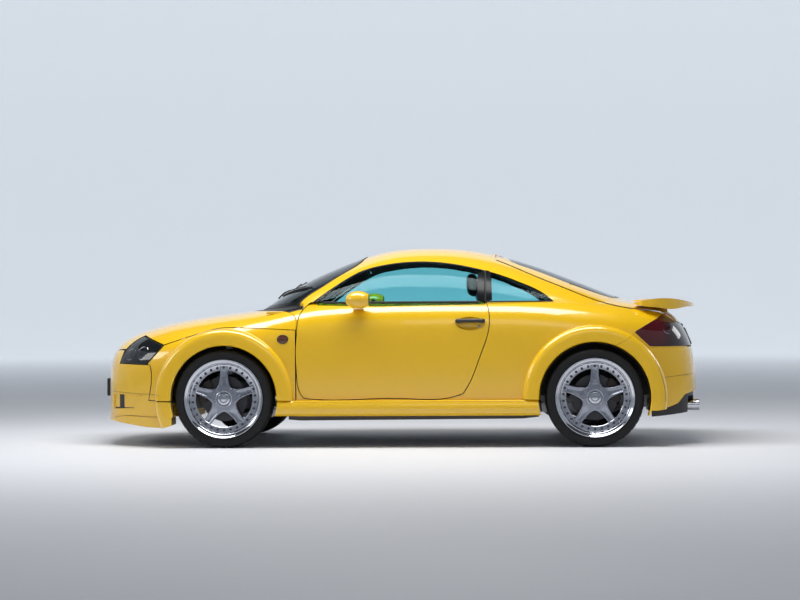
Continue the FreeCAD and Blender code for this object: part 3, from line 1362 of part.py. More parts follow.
def make_steering_wheel():
    centre, line = column_line()
    ring = Part.makeTorus(WHEEL_RIM_RADIUS, WHEEL_RIM_THICK, centre, line)
    hub = rod(centre - line * COLUMN_RADIUS, centre + line * WHEEL_RIM_THICK, 3 * COLUMN_RADIUS)
    across = V(0, WHEEL_RIM_RADIUS, 0)
    down = line.cross(V(0, 1, 0)) * WHEEL_RIM_RADIUS
    spokes = [rod(centre, centre + way, WHEEL_SPOKE_RADIUS) for way in (across, across * -1, down)]
    return joined([ring, hub] + spokes)


def make_seat():
    body = side_prism(SEAT_SHARES, -SEAT_Y - SEAT_WIDE / 2, SEAT_WIDE / 2 - SEAT_Y)
    head = side_prism(HEADREST_SHARES, -SEAT_Y - HEADREST_WIDE / 2, HEADREST_WIDE / 2 - SEAT_Y)
    box = body.BoundBox
    floor_z = min(row[5] for row in FLOOR_BOX_SHARES) * ROOF_HEIGHT
    foot = block(V(box.XMin + SEAT_WIDE / 8, -SEAT_Y - SEAT_WIDE / 3, floor_z),
                 V(box.XMin + SEAT_WIDE, SEAT_WIDE / 3 - SEAT_Y, box.ZMin + SEAT_WIDE / 8))
    posts = []
    for y in (-HEADREST_WIDE / 4, HEADREST_WIDE / 4):
        top = V(head.BoundBox.Center.x, y - SEAT_Y, head.BoundBox.ZMin + HEADREST_WIDE / 8)
        posts.append(rod(top - V(0, 0, HEADREST_WIDE / 2), top, POST_RADIUS))
    return joined([body, head, foot] + posts)


def make_rear_seats():
    inner, outer = REAR_SEAT_Y
    left = side_prism(REAR_SEAT_SHARES, -outer, -inner)
    return joined([left, mirrored(left), boxes(BENCH_BOX_SHARES)])


def make_mirror():
    """Return a left mirror housing with a flat back, on its foot at the door."""
    x, y, z = MIRROR_SHARES
    centre = V(wheelbase_x(x), -y * HALF_WIDTH, z * ROOF_HEIGHT)
    long, deep, tall = MIRROR_RADII
    behind = block(centre + V(MIRROR_GLASS_X, -deep, -tall), centre + V(long, deep, tall))
    low = centre - V(long / 2, 0, tall)
    foot = block(low, centre + V(long / 3, long, -tall / 2))
    foot = foot.cut(joined([BODY[0.0], HOUSE[0.0]]))
    return whole(joined([egg(centre, MIRROR_RADII).cut(behind), foot]).cut(BODY[0.0]))


def make_wing():
    points = WING_PLAN_SHARES + [(x, -y) for x, y in reversed(WING_PLAN_SHARES[1:-1])]
    blade = side_prism(WING_SHARES, -WIDE, WIDE)
    blade = whole(blade.common(plan_prism(points, 0, HIGH)).cut(hull(-WING_GAP)))
    stand = whole(boxes(WING_STAND_BOX_SHARES).cut(joined([BODY[0.0], HOUSE[0.0]])))
    return joined([blade, stand, mirrored(stand)])


def make_plain_parts():
    """Return the nodes that stand alone."""
    engine = make_engine()
    suspension, shaft = make_front_suspension()
    engine = joined([engine, shaft, mirrored(shaft)])
    return {
        "body_shell": joined([make_body_shell().cut(flap_pocket()), flap_pin()]),
        "floor_pan": make_floor(),
        "front_frame": make_front_frame(),
        "front_bumper": make_front_bumper(),
        "front_grille": make_grille(),
        "rear_bumper": make_rear_bumper(),
        "rear_apron": make_apron(),
        "scuttle_panel": make_cowl(),
        "windscreen": make_windscreen(),
        "hood": make_hood(),
        "tailgate": make_tailgate(),
        "rear_window": make_rear_glass(),
        "wing": make_wing(),
        "fuel_flap": make_flap(),
        "engine": engine,
        "front_suspension": suspension,
        "rear_suspension": make_rear_suspension(),
        "exhaust": make_exhaust(),
        "dashboard": make_dashboard(),
        "steering_wheel": make_steering_wheel(),
        "rear_seats": make_rear_seats(),
    }


def make_paired_parts():
    """Return the left nodes that have a mirrored twin on the right."""
    return {
        "fender": make_fender(),
        "headlight": make_headlight(),
        "tail_lamp": make_tail_lamp(),
        "side_skirt": make_skirt(),
        "door": make_door(),
        "door_window": door_glass_block(),
        "quarter_window": make_quarter_window(),
        "mirror": make_mirror(),
        "seat": make_seat(),
        "knuckle": make_knuckle(),
        "rim_front": make_rim("front"),
        "tyre_front": make_tyre("front"),
        "rim_rear": make_rim("rear"),
        "tyre_rear": make_tyre("rear"),
    }


os.makedirs("parts", exist_ok=True)
NODES = make_plain_parts()
for name, shape in make_paired_parts().items():
    NODES[name + "_left"] = shape
    NODES[name + "_right"] = mirrored(shape)
for name, shape in NODES.items():
    shape.exportStep("parts/" + name + ".step")
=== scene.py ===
import bmesh
import bpy
import json
from math import atan2, copysign, cos, pi, radians, sin, sqrt, tan
from mathutils import Matrix, Vector
from mathutils.bvhtree import BVHTree


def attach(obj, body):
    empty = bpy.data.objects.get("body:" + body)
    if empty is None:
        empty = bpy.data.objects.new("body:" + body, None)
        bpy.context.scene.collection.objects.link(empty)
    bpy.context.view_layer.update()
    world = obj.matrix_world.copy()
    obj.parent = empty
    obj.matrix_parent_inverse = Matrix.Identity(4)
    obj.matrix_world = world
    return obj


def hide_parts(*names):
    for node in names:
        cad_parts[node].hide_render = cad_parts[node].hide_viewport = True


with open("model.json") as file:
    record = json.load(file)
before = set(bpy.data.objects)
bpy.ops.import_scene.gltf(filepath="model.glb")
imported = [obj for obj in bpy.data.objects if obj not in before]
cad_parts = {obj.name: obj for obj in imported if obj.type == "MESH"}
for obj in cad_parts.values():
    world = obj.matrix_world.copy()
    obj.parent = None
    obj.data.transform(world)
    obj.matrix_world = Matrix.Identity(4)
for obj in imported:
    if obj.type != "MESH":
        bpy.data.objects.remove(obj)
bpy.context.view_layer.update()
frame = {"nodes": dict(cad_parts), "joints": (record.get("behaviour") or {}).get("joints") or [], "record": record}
NODES = frame["nodes"]
SCENE = bpy.context.scene

# Places taken from the frame, in metres
AXLES = {j["child"]: Vector(j["pos_m"]) for j in frame["joints"] if j["name"].endswith("_spin")}
FRONT_X = AXLES["wheel_front_left"].x
SIDES = (("_left", -1, "driver_door"), ("_right", 1, "passenger_door"))

FORWARD = Vector((1, 0, 0))
SIDEWAYS = Vector((0, 1, 0))
UP = Vector((0, 0, 1))


# ---- materials
NOISE_DETAIL = 6.0
ROUGH_SPREAD = 0.15
WEAVE_DISTORTION = 3.0


def shader_node(tree, kind, output, options=None, **inputs):
    """Add a node whose inputs take values or other nodes' outputs, and return one of its outputs."""
    made = tree.nodes.new("ShaderNode" + kind)
    for key, value in (options or {}).items():
        setattr(made, key, value)
    for key, value in inputs.items():
        socket = made.inputs[key.replace("_", " ")]
        if isinstance(value, bpy.types.NodeSocket):
            tree.links.new(value, socket)
        else:
            socket.default_value = value
    return made.outputs[output]


def surface(name, color, rough, metal, vary, vary_scale, grain, bump, depth, pattern="noise", second=None, **sockets):
    """Make a procedural material with mottled colour, uneven roughness and a fine relief."""
    mat = bpy.data.materials.new(name)
    mat.use_nodes = True
    tree = mat.node_tree
    shader = tree.nodes["Principled BSDF"]
    place = shader_node(tree, "TexCoord", "Object")
    noise = shader_node(tree, "TexNoise", "Fac", Scale=vary_scale, Detail=NOISE_DETAIL, Vector=place)
    share = shader_node(tree, "MapRange", "Result", Value=noise)
    mix = shader_node(tree, "Mix", "Result", {"data_type": "RGBA"}, A=(*color, 1), Factor=share,
                      B=(*(second or [c * (1 - vary) for c in color]), 1))
    uneven = shader_node(tree, "MapRange", "Result", Value=noise, To_Min=rough * (1 - ROUGH_SPREAD),
                         To_Max=rough * (1 + ROUGH_SPREAD))
    if pattern == "leather":
        height = shader_node(tree, "TexVoronoi", "Distance", {"feature": "DISTANCE_TO_EDGE"}, Scale=grain, Vector=place)
    elif pattern == "weave":
        height = shader_node(tree, "TexWave", "Fac", Distortion=WEAVE_DISTORTION, Scale=grain, Vector=place)
    else:
        height = shader_node(tree, "TexNoise", "Fac", Scale=grain, Vector=place)
    relief = shader_node(tree, "Bump", "Normal", Strength=bump, Distance=depth, Height=height)
    for output, key in ((mix, "Base Color"), (uneven, "Roughness"), (relief, "Normal")):
        tree.links.new(output, shader.inputs[key])
    shader.inputs["Metallic"].default_value = metal
    for key, value in sockets.items():
        shader.inputs[key.replace("_", " ")].default_value = value
    return mat


# Columns: name, colour, roughness, metal, colour share and scale, grain scale, relief strength and depth
PAINT = surface("Body paint", (0.84, 0.5, 0.006), 0.24, 0.0, 0.05, 2.5, 900, 0.02, 0.0002,
                Coat_Weight=1.0, Coat_Roughness=0.03)
PLASTIC = surface("Black grained plastic", (0.018, 0.018, 0.019), 0.45, 0.0, 0.3, 12.0, 1400, 0.25, 0.0004)
SATIN = surface("Satin underbody coating", (0.03, 0.03, 0.031), 0.6, 0.0, 0.4, 5.0, 350, 0.4, 0.0015,
                second=(0.055, 0.05, 0.045))
RUBBER = surface("Rubber seal", (0.012, 0.012, 0.013), 0.55, 0.0, 0.2, 20.0, 800, 0.15, 0.0004)
TYRE = surface("Tyre rubber", (0.006, 0.0063, 0.0075), 0.66, 0.0, 0.3, 8.0, 260, 0.12, 0.0005,
               second=(0.011, 0.0108, 0.0105), Specular_IOR_Level=0.3)
GLASS = surface("Tinted glass", (0.42, 0.8, 0.84), 0.01, 0.0, 0.03, 2.0, 3, 0.005, 0.0003,
                Transmission_Weight=1.0, IOR=1.18)
# Windscreen and rear window glass: a light real tint, darkened much further as painted shade of the cabin seen through
# it.
SCREEN_PAINTED_SHADE = surface("Windscreen glass", (0.1, 0.16, 0.17), 0.02, 0.0, 0.03, 2.0, 3, 0.005, 0.0003,
                 Transmission_Weight=1.0, IOR=1.25)
FRIT = surface("Black glass border", (0.007, 0.008, 0.009), 0.25, 0.0, 0.1, 9.0, 900, 0.02, 0.0002,
               Specular_IOR_Level=0.2)
LENS = surface("Smoked lamp lens", (0.008, 0.01, 0.011), 0.05, 0.0, 0.05, 3.0, 40, 0.03, 0.0005,
               Alpha=0.9, Coat_Weight=0.4, Coat_Roughness=0.04)
RED_LENS = surface("Red lamp lens", (0.095, 0.004, 0.008), 0.08, 0.0, 0.35, 3.0, 60, 0.05, 0.0005,
                   second=(0.03, 0.002, 0.004), Alpha=0.93, Coat_Weight=0.6, Coat_Roughness=0.03)
CHROME = surface("Polished metal", (0.62, 0.63, 0.66), 0.1, 1.0, 0.05, 8.0, 500, 0.03, 0.0002)
# Polished rim lip: darkened below bare polished metal as painted shade, and tinted blue as a painted reflection of the
# backdrop.
RIM_METAL_PAINTED_REFLECTION = surface("Polished rim lip", (0.56, 0.58, 0.63), 0.12, 1.0, 0.06, 8.0, 500, 0.03, 0.0002)
ALLOY = surface("Silver wheel lacquer", (0.3, 0.32, 0.38), 0.28, 0.9, 0.12, 18.0, 1500, 0.06, 0.0002,
                Coat_Weight=0.5, Coat_Roughness=0.08)
BOLT = surface("Dark zinc", (0.1, 0.1, 0.12), 0.35, 1.0, 0.2, 60.0, 700, 0.1, 0.0003)
# Caliper iron: the brown patches are rust. The very dark base is partly the iron's own tone and partly painted shade
# inside the wheel opening.
IRON_PAINTED_SHADE = surface("Cast iron", (0.06, 0.058, 0.056), 0.55, 1.0, 0.3, 25.0, 420, 0.35, 0.001,
               second=(0.045, 0.034, 0.028))
STEEL = surface("Machined steel", (0.42, 0.42, 0.43), 0.35, 1.0, 0.2, 14.0, 500, 0.15, 0.0005)
CAST = surface("Cast aluminium", (0.35, 0.35, 0.36), 0.5, 0.9, 0.25, 14.0, 380, 0.4, 0.0012)
LEATHER = surface("Black leather", (0.022, 0.021, 0.021), 0.42, 0.0, 0.35, 7.0, 420, 0.35, 0.0008, "leather",
                  Sheen_Weight=0.15)
HEADLINING = surface("Roof lining", (0.016, 0.016, 0.018), 0.9, 0.0, 0.25, 30.0, 700, 0.5, 0.001, "weave")
CARPET = surface("Carpet", (0.02, 0.02, 0.021), 0.95, 0.0, 0.5, 60.0, 900, 0.9, 0.003, Sheen_Weight=0.3)
MIRROR_GLASS = surface("Mirror glass", (0.85, 0.88, 0.9), 0.02, 1.0, 0.02, 3.0, 5, 0.005, 0.0002)
LENS_CORE = surface("Clear lamp core", (0.55, 0.58, 0.6), 0.05, 0.0, 0.05, 5.0, 80, 0.05, 0.0004, Alpha=0.75)
DARK_RED = surface("Dark lamp housing", (0.05, 0.003, 0.005), 0.3, 0.0, 0.3, 9.0, 300, 0.3, 0.0008)
AMBER = surface("Smoked amber lens", (0.1, 0.028, 0.008), 0.1, 0.0, 0.3, 40.0, 500, 0.25, 0.0006, Coat_Weight=0.6)
# Brake disc: its steel is darkened far below its real tone, as painted shade inside the wheel opening.
DISC_PAINTED_SHADE = surface("Brake disc steel", (0.07, 0.07, 0.075), 0.42, 1.0, 0.25, 30.0, 600, 0.2, 0.0004)
PLATE = surface("Blank plate", (0.72, 0.72, 0.7), 0.4, 0.0, 0.05, 9.0, 400, 0.05, 0.0003)


def fade_to(mat, color, axis, start, stop):
    """Blend a material's colour into another one along an axis of the car."""
    tree = mat.node_tree
    base = tree.nodes["Principled BSDF"].inputs["Base Color"]
    along = shader_node(tree, "SeparateXYZ", axis, Vector=shader_node(tree, "TexCoord", "Object"))
    share = shader_node(tree, "MapRange", "Result", Value=along, From_Min=start, From_Max=stop)
    mix = shader_node(tree, "Mix", "Result", {"data_type": "RGBA"}, A=base.links[0].from_socket, B=(*color, 1),
                      Factor=share)
    tree.links.new(mix, base)


fade_to(RED_LENS, (0.012, 0.004, 0.005), "X", 1.72, 1.8)

# The look of each CAD node that stays, by its slot in the record
LOOKS = {
    "body_paint": PAINT, "underbody": SATIN, "black_plastic": PLASTIC, "clear_glass": GLASS, "lamp_lens": LENS,
    "tail_lens": RED_LENS, "cast_metal": CAST, "steel": STEEL, "interior_plastic": PLASTIC,
    "seat_leather": LEATHER, "alloy": ALLOY, "tyre_rubber": TYRE,
}
for row in frame["record"]["subparts"]:
    # The windscreen and rear window take the glass that is darkened as painted shade.
    look = SCREEN_PAINTED_SHADE if row["node"] in ("windscreen", "rear_window") else LOOKS[row["material_slot"]]
    for held in NODES[row["node"]].material_slots:
        held.material = look

# What the added pieces are made of: a material, and the record's slot that it belongs to
TRIM = (PLASTIC, "black_plastic")
CABIN = (PLASTIC, "interior_plastic")
SEAL = (RUBBER, "black_plastic")
BLACK_GLASS = (FRIT, "black_plastic")
BRIGHT = (CHROME, "alloy")
BRIGHT_STEEL = (CHROME, "steel")
RIM_LIP = (RIM_METAL_PAINTED_REFLECTION, "alloy")
LACQUER = (ALLOY, "alloy")
MIRROR = (MIRROR_GLASS, "alloy")
BLANK = (PLATE, "alloy")
HIDE = (LEATHER, "seat_leather")
DOOR_HIDE = (LEATHER, "interior_plastic")
COATING = (SATIN, "underbody")


# ---- mesh helpers; a part is a pair of vertices and faces
def mesh_of(name, part):
    mesh = bpy.data.meshes.new(name)
    mesh.from_pydata([tuple(v) for v in part[0]], [], part[1])
    return mesh


def make(name, part, finish, body="chassis", angle=60.0):
    """Make a piece from a part, with edges sharper than an angle left crisp."""
    mesh = mesh_of(name, part)
    bm = bmesh.new()
    bm.from_mesh(mesh)
    bmesh.ops.remove_doubles(bm, verts=bm.verts, dist=0.00001)
    bmesh.ops.recalc_face_normals(bm, faces=bm.faces)
    bm.to_mesh(mesh)
    bm.free()
    return add(name, mesh, finish, body, angle)


def add(name, mesh, finish, body="chassis", angle=0.0):
    mat, slot = finish
    for face in mesh.polygons:
        face.use_smooth = True
    if angle:
        mesh.set_sharp_from_angle(angle=radians(angle))
    mesh.materials.append(mat)
    piece = bpy.data.objects.new(name, mesh)
    SCENE.collection.objects.link(piece)
    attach(piece, body)
    return piece


def soften(piece, width, segments=1):
    """Round the edges of a piece."""
    bevel = piece.modifiers.new("Bevel", "BEVEL")
    bevel.width = width
    bevel.segments = segments


def mm(points):
    """Turn points in millimetres into metres."""
    return [(a / 1000, b / 1000) for a, b in points]


def clamp(value):
    return min(1.0, max(0.0, value))


def shift(x, y, z):
    return Matrix.Translation((x, y, z))


def turn(degrees, axis):
    return Matrix.Rotation(radians(degrees), 4, axis)


def circle(steps):
    """Return the angles of a circle's steps."""
    return [2 * pi * k / steps for k in range(steps)]


def grid(rows, close_rows=False, close_columns=False):
    """Return the sheet through rows of points."""
    width = len(rows[0])
    verts = [point for row in rows for point in row]
    faces = []
    for i in range(len(rows) - (0 if close_rows else 1)):
        below = (i + 1) % len(rows) * width
        for j in range(width - (0 if close_columns else 1)):
            after = (j + 1) % width
            faces.append((i * width + j, i * width + after, below + after, below + j))
    return verts, faces


def capped(rows):
    """Return the form through rings of points, with both ends closed."""
    count, steps = len(rows), len(rows[0])
    verts, faces = grid(rows, False, True)
    return verts, faces + [tuple(reversed(range(steps))), tuple(range((count - 1) * steps, count * steps))]


def merge(*parts):
    verts, faces = [], []
    for more_verts, more_faces in parts:
        base = len(verts)
        verts += list(more_verts)
        faces += [tuple(base + i for i in face) for face in more_faces]
    return verts, faces


def moved(part, matrix):
    return [matrix @ Vector(v) for v in part[0]], part[1]


def revolved(profile, steps, place=Matrix.Identity(4), closed=False):
    """Turn (radius, y) points about the Y axis of a place."""
    rows = [[place @ Vector((r * cos(a), y, r * sin(a))) for r, y in profile] for a in circle(steps)]
    return grid(rows, True, closed)


def prism(outline, low, high):
    """Extrude an (x, z) outline along y and close both ends."""
    count = len(outline)
    verts = [Vector((x, y, z)) for y in (min(low, high), max(low, high)) for x, z in outline]
    faces = [tuple(range(count)), tuple(reversed(range(count, 2 * count)))]
    faces += [(i, (i + 1) % count, count + (i + 1) % count, count + i) for i in range(count)]
    return verts, faces


def tube(path, wide, tall=None, steps=10, closed=False, up=UP):
    """Sweep an oval section along a path."""
    tall = tall or wide
    count = len(path)
    rows = []
    for i, point in enumerate(path):
        before = path[i - 1] if i or closed else path[i]
        after = path[(i + 1) % count] if i + 1 < count or closed else path[i]
        along = (after - before).normalized()
        across = along.cross(up).normalized()
        over = across.cross(along).normalized()
        rows.append([point + across * (wide * cos(a)) + over * (tall * sin(a)) for a in circle(steps)])
    return grid(rows, True, True) if closed else capped(rows)


def ball(radii, rings, steps):
    rows = []
    for i in range(rings + 1):
        lift = pi * (i / rings - 0.5)
        rows.append([Vector((radii[0] * cos(lift) * cos(a), radii[1] * cos(lift) * sin(a), radii[2] * sin(lift)))
                     for a in circle(steps)])
    return grid(rows, False, True)


def smooth_path(points, count):
    """Resample a line of points as a smooth curve."""
    points = [Vector(p) for p in points]
    points = [2 * points[0] - points[1]] + points + [2 * points[-1] - points[-2]]
    spans = len(points) - 3
    result = []
    for k in range(count + 1):
        place = spans * k / count
        cell = min(int(place), spans - 1)
        t = place - cell
        a, b, c, d = points[cell:cell + 4]
        result.append(0.5 * (2 * b + (c - a) * t + (2 * a - 5 * b + 4 * c - d) * t * t
                             + (3 * b - a - 3 * c + d) * t ** 3))
    return result


def ring_of(part, count, radius, start=0.0):
    """Repeat a part round the Y axis."""
    return merge(*[moved(part, Matrix.Rotation(a + start, 4, "Y") @ shift(radius, 0, 0)) for a in circle(count)])


def tree_of(*names):
    """Return a tree of the named nodes' faces for casting rays."""
    verts, faces = merge(*[([v.co.copy() for v in mesh.vertices], [tuple(poly.vertices) for poly in mesh.polygons])
                           for mesh in [NODES[name].data for name in names]])
    return BVHTree.FromPolygons(verts, faces)


def cast(tree, start, way):
    """Return the place that a ray meets and the normal there, turned against the ray."""
    hit, normal, index, reach = tree.ray_cast(Vector(start), Vector(way))
    if hit is None:
        return None, None
    return hit, normal if normal.dot(Vector(way)) < 0 else -normal


def on_side(tree, x, z, sign, lift=0.0):
    """Return the place of a side view's point on the skin of one side."""
    hit, normal = cast(tree, (x, 2 * sign, z), (0, -sign, 0))
    return None if hit is None else hit + normal * lift


def on_top(tree, x, y, lift=0.0):
    hit, normal = cast(tree, (x, y, 3), (0, 0, -1))
    return None if hit is None else hit + normal * lift


def on_end(tree, start_x, y, z, lift=0.0):
    """Return the place that a ray from a place along the car meets, lifted back along the ray."""
    way = -FORWARD if start_x > 0 else FORWARD
    hit = cast(tree, (start_x, y, z), way)[0]
    return None if hit is None else hit - way * lift


def found(points):
    """Leave out the places where a ray met nothing."""
    return [p for p in points if p]


# ---- wheels, in a space whose y points inwards from the wheel's outer face
TYRE_WIDTH = 0.235
SPOKES = 5
RIM_BOLTS = 30
RIM_PROFILE = mm([
    (258.5, 1.5), (257.5, 0), (254, 0), (251.5, 2.2), (247, 7), (240, 12), (237.2, 13.6), (235.2, 12.5),
    (232.2, 12.5), (230.5, 14), (229, 19), (226.2, 31.5), (223.5, 35), (221.5, 35.8), (188.5, 35.8),
    (187, 37.2), (187, 45), (205, 56), (214, 90), (218, 180), (235, 218), (252, 233),
    (258.5, 235), (258.5, 226), (244, 222), (242.5, 200), (242.5, 30), (244, 11.5), (258, 10),
])
HUB_RING = mm([(56, 30), (54.5, 24.5), (52.5, 23.5), (50.5, 24.5), (49, 30)])
HUB_CAP = mm([(0.1, 18.5), (10, 19), (20, 20.5), (22.5, 22.8), (25.5, 22.8), (28, 19.5), (34, 20),
              (38.5, 22.5), (40.5, 27), (41, 36)])
DISC_PROFILE = mm([(70, 80.5), (72, 79), (92, 79), (94, 80.5), (149, 80.5), (150, 81.5), (150, 88),
                   (146, 89.5), (146, 95.5), (150, 97), (150, 103.5), (149, 104.5), (94, 104.5),
                   (70, 104.5)])
# Half of a tyre's section: side wall with rim guard and bands, then ribs and grooves to the middle of the tread
TYRE_HALF = mm([
    (242.5, 12), (259, 10.5), (261.2, 7.8), (263.2, 4), (266, 3), (270, 3.4), (278, 1.6), (286, 0.6),
    (292, 0.3), (293, 1.2), (298, 1.6), (299, 0.8), (305, 4), (311, 9.5), (315, 16), (318.2, 24),
    (319.5, 30), (320.3, 36), (320.7, 40), (314, 41.2), (314, 47.8), (320.8, 49), (321.4, 62),
    (321.7, 74), (315, 75.2), (315, 83.8), (321.8, 85), (322, 100), (322, 110),
])
# Half a spoke's width by the distance from the hub
SPOKE_WIDTHS = mm([(0, 200), (70, 51.2), (78, 44), (88, 38.5), (102, 33.8), (122, 30), (150, 27.2),
                   (175, 25.8), (190, 26.2), (210, 30), (220, 30)])
SPOKE_RADII = [0.03, 0.045, 0.06, 0.07, 0.078, 0.088, 0.1, 0.112, 0.13, 0.15, 0.17, 0.186, 0.1945, 0.2015,
               0.211]
SPOKE_COLUMNS = [-1.0, -0.9, -0.62, -0.5, 0, 0.5, 0.62, 0.9, 1.0]


def side_of(hub):
    return -1 if hub.y < 0 else 1


def wheel_place(hub):
    """Return the matrix from a wheel's own space."""
    return shift(hub.x, hub.y + side_of(hub) * TYRE_WIDTH / 2, hub.z) @ Matrix.Diagonal((1, -side_of(hub), 1, 1))


def spoke_half(r):
    """Return half the width of a spoke at a distance from the hub, up to where spokes meet."""
    for (r0, w0), (r1, w1) in zip(SPOKE_WIDTHS, SPOKE_WIDTHS[1:]):
        if r0 <= r <= r1:
            return min(r * tan(pi / SPOKES), w0 + (w1 - w0) * (r - r0) / (r1 - r0))


def spoke_face(r, c):
    """Return how far the spoke's face lies behind the wheel's outer plane, with its long hollow."""
    face = 0.0285 + 0.0045 * clamp((r - 0.05) / 0.09) - 0.001 * max(0.0, (r - 0.17) / 0.04)
    hollow = clamp((r - 0.088) / 0.02) * clamp((0.198 - r) / 0.008)
    return face + (0.0085 * hollow if abs(c) < 0.55 else 0.0)


def wheel_star():
    parts = []
    for number in range(SPOKES):
        rows = []
        for r in SPOKE_RADII:
            half = spoke_half(r)
            open_side = half < r * tan(pi / SPOKES) - 1e-6
            back = 0.062 - 0.012 * (r / 0.21)
            row = [Vector((r, spoke_face(r, c) + (0.0035 if abs(c) == 1.0 and open_side else 0.0), c * half))
                   for c in SPOKE_COLUMNS]
            rows.append([Vector((r, back, -half))] + row + [Vector((r, back, half))])
        parts.append(moved(grid(rows), turn(-90 - number * 360 / SPOKES, "Y")))
    return merge(*parts)


def stud(radius, low, high):
    profile = [(0.0001, low), (radius * 0.75, low), (radius, low + (high - low) * 0.2), (radius, high)]
    return revolved(profile, 12)


def tread_tyre():
    """Build a tyre with a rounded side wall and slanted cuts across the ribs of its tread."""
    steps, cut_every, cut_depth = 240, 6, 0.0055
    profile = TYRE_HALF + [(r, TYRE_WIDTH - y) for r, y in reversed(TYRE_HALF)]
    rows = []
    for step, angle in enumerate(circle(steps)):
        row = []
        for r, y in profile:
            off = abs(y - TYRE_WIDTH / 2)
            rib = r > 0.3175 and 0.015 < y < 0.22
            lean = angle + (off * 0.55 if rib else 0.0)
            r -= cut_depth if rib and step % cut_every == 0 and off > 0.012 else 0.0
            row.append(Vector((r * cos(lean), y, r * sin(lean))))
        rows.append(row)
    return grid(rows, True, True)


def build_wheel(body, hub):
    tag = body.removeprefix("wheel_")
    place = wheel_place(hub)
    bolts = ring_of(stud(0.0086, 0.0285, 0.0365), RIM_BOLTS, 0.2045, radians(6))
    valve = moved(stud(0.0035, 0.0, 0.02), shift(0, 0.006, -0.2275))
    made = {}
    for name, part, finish, angle in (
            ("rim_barrel_", revolved(RIM_PROFILE, 128, closed=True), RIM_LIP, 25),
            ("rim_star_", wheel_star(), LACQUER, 0), ("rim_bolts_", bolts, (BOLT, "alloy"), 30),
            ("rim_cap_", merge(revolved(HUB_RING, 64), revolved(HUB_CAP, 64)), RIM_LIP, 25),
            ("rim_valve_", valve, BRIGHT, 30),
            ("brake_disc_", revolved(DISC_PROFILE, 96, closed=True), (DISC_PAINTED_SHADE, "steel"), 25),
            ("tyre_carcass_", tread_tyre(), (TYRE, "tyre_rubber"), 30)):
        made[name] = make(name + tag, moved(part, place), finish, body, angle)
    smooth = made["rim_star_"].modifiers.new("Smooth", "SUBSURF")
    smooth.levels = smooth.render_levels = 1
    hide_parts("rim_" + tag)
    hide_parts("tyre_" + tag)


def arch_liner(tag, hub):
    """Line a wheel arch with a thin ribbed shell."""
    rows = []
    for step in range(49):
        a = radians(-14 + 208 * step / 48)
        ribs = 0.0015 * cos(24 * a)
        rows.append([Vector((hub.x + (r + ribs) * cos(a), side_of(hub) * y, hub.z + (r + ribs) * sin(a)))
                     for r, y in mm([(352, 868), (357, 858), (360, 840), (360, 800), (360, 760), (360, 700)])])
    make("arch_liner_" + tag, grid(rows), COATING)


def caliper(tag, hub, body, degrees):
    """Build a brake caliper that straddles the disc."""
    outer, inner, steps = 0.163, 0.112, 12
    cheek = [(r * cos(radians(a)), r * sin(radians(a))) for r, start, stop in ((outer, -32, 32), (inner, 28, -28))
             for a in [start + (stop - start) * step / steps for step in range(steps + 1)]]
    bridge = [(r * cos(a), r * sin(a)) for r, a in
              [(0.17, -0.45), (0.172, -0.2), (0.172, 0.2), (0.17, 0.45), (0.155, 0.45), (0.155, -0.45)]]
    part = merge(prism(cheek, 0.064, 0.078), prism(cheek, 0.107, 0.121), prism(bridge, 0.065, 0.12))
    place = wheel_place(hub) @ turn(degrees, "Y")
    soften(make("brake_caliper_" + tag, moved(part, place), (IRON_PAINTED_SHADE, "steel"), body, 30), 0.002, 2)


for wheel, hub in AXLES.items():
    build_wheel(wheel, hub)
for wheel, hub in AXLES.items():
    tag = wheel.removeprefix("wheel_")
    arch_liner(tag, hub)
    if "front" in wheel:
        caliper(tag, hub, "knuckle_" + tag, 200)
    else:
        caliper(tag, hub, "chassis", -20)


# ---- places and frames on the skin
def fx(x):
    """Turn a distance behind the front axle into a place along the car."""
    return FRONT_X + x


def from_axle(outline):
    return [(fx(x), z) for x, z in outline]


def side_frame(tree, x, z, sign, lift=0.0):
    """Return a matrix on one side's skin whose y axis points out of it."""
    hit, normal = cast(tree, (x, 2 * sign, z), (0, -sign, 0))
    along = FORWARD.cross(normal).cross(normal).normalized() * -1
    up = along.cross(normal).normalized()
    up = up if up.z > 0 else -up
    axes = Matrix((normal.cross(up), normal, up)).transposed().to_4x4()
    return Matrix.Translation(hit + normal * lift) @ axes


def skin_faces(node, lift, test):
    """Return the faces of a node's skin that a test picks, lifted off it."""
    mesh = NODES[node].data
    places, faces, pushes = [], [], []
    known = {}
    for poly in mesh.polygons:
        if not test(poly.center, poly.normal):
            continue
        face = []
        for index in poly.vertices:
            co = mesh.vertices[index].co
            key = (round(co.x, 5), round(co.y, 5), round(co.z, 5))
            if key not in known:
                known[key] = len(places)
                places.append(co.copy())
                pushes.append(Vector())
            pushes[known[key]] += poly.normal * poly.area
            face.append(known[key])
        if len(set(face)) == len(face):
            faces.append(tuple(face))
    lifted = [p + d.normalized() * lift if d.length else p for p, d in zip(places, pushes)]
    return lifted, faces


def edge_loops(part):
    """Return the open edges of a patch of faces as ordered loops of points, the longest first."""
    verts, faces = part
    count = {}
    for face in faces:
        for a, b in zip(face, face[1:] + face[:1]):
            key = (min(a, b), max(a, b))
            count[key] = count.get(key, 0) + 1
    near = {}
    for (a, b), uses in count.items():
        if uses == 1:
            near.setdefault(a, []).append(b)
            near.setdefault(b, []).append(a)
    loops = []
    left = set(near)
    while left:
        here = left.pop()
        loop = [here]
        while True:
            onward = [n for n in near[here] if n in left]
            if not onward:
                break
            here = onward[0]
            left.discard(here)
            loop.append(here)
        if len(loop) > 5:
            loops.append([Vector(verts[i]) for i in loop])
    return sorted(loops, key=len, reverse=True)


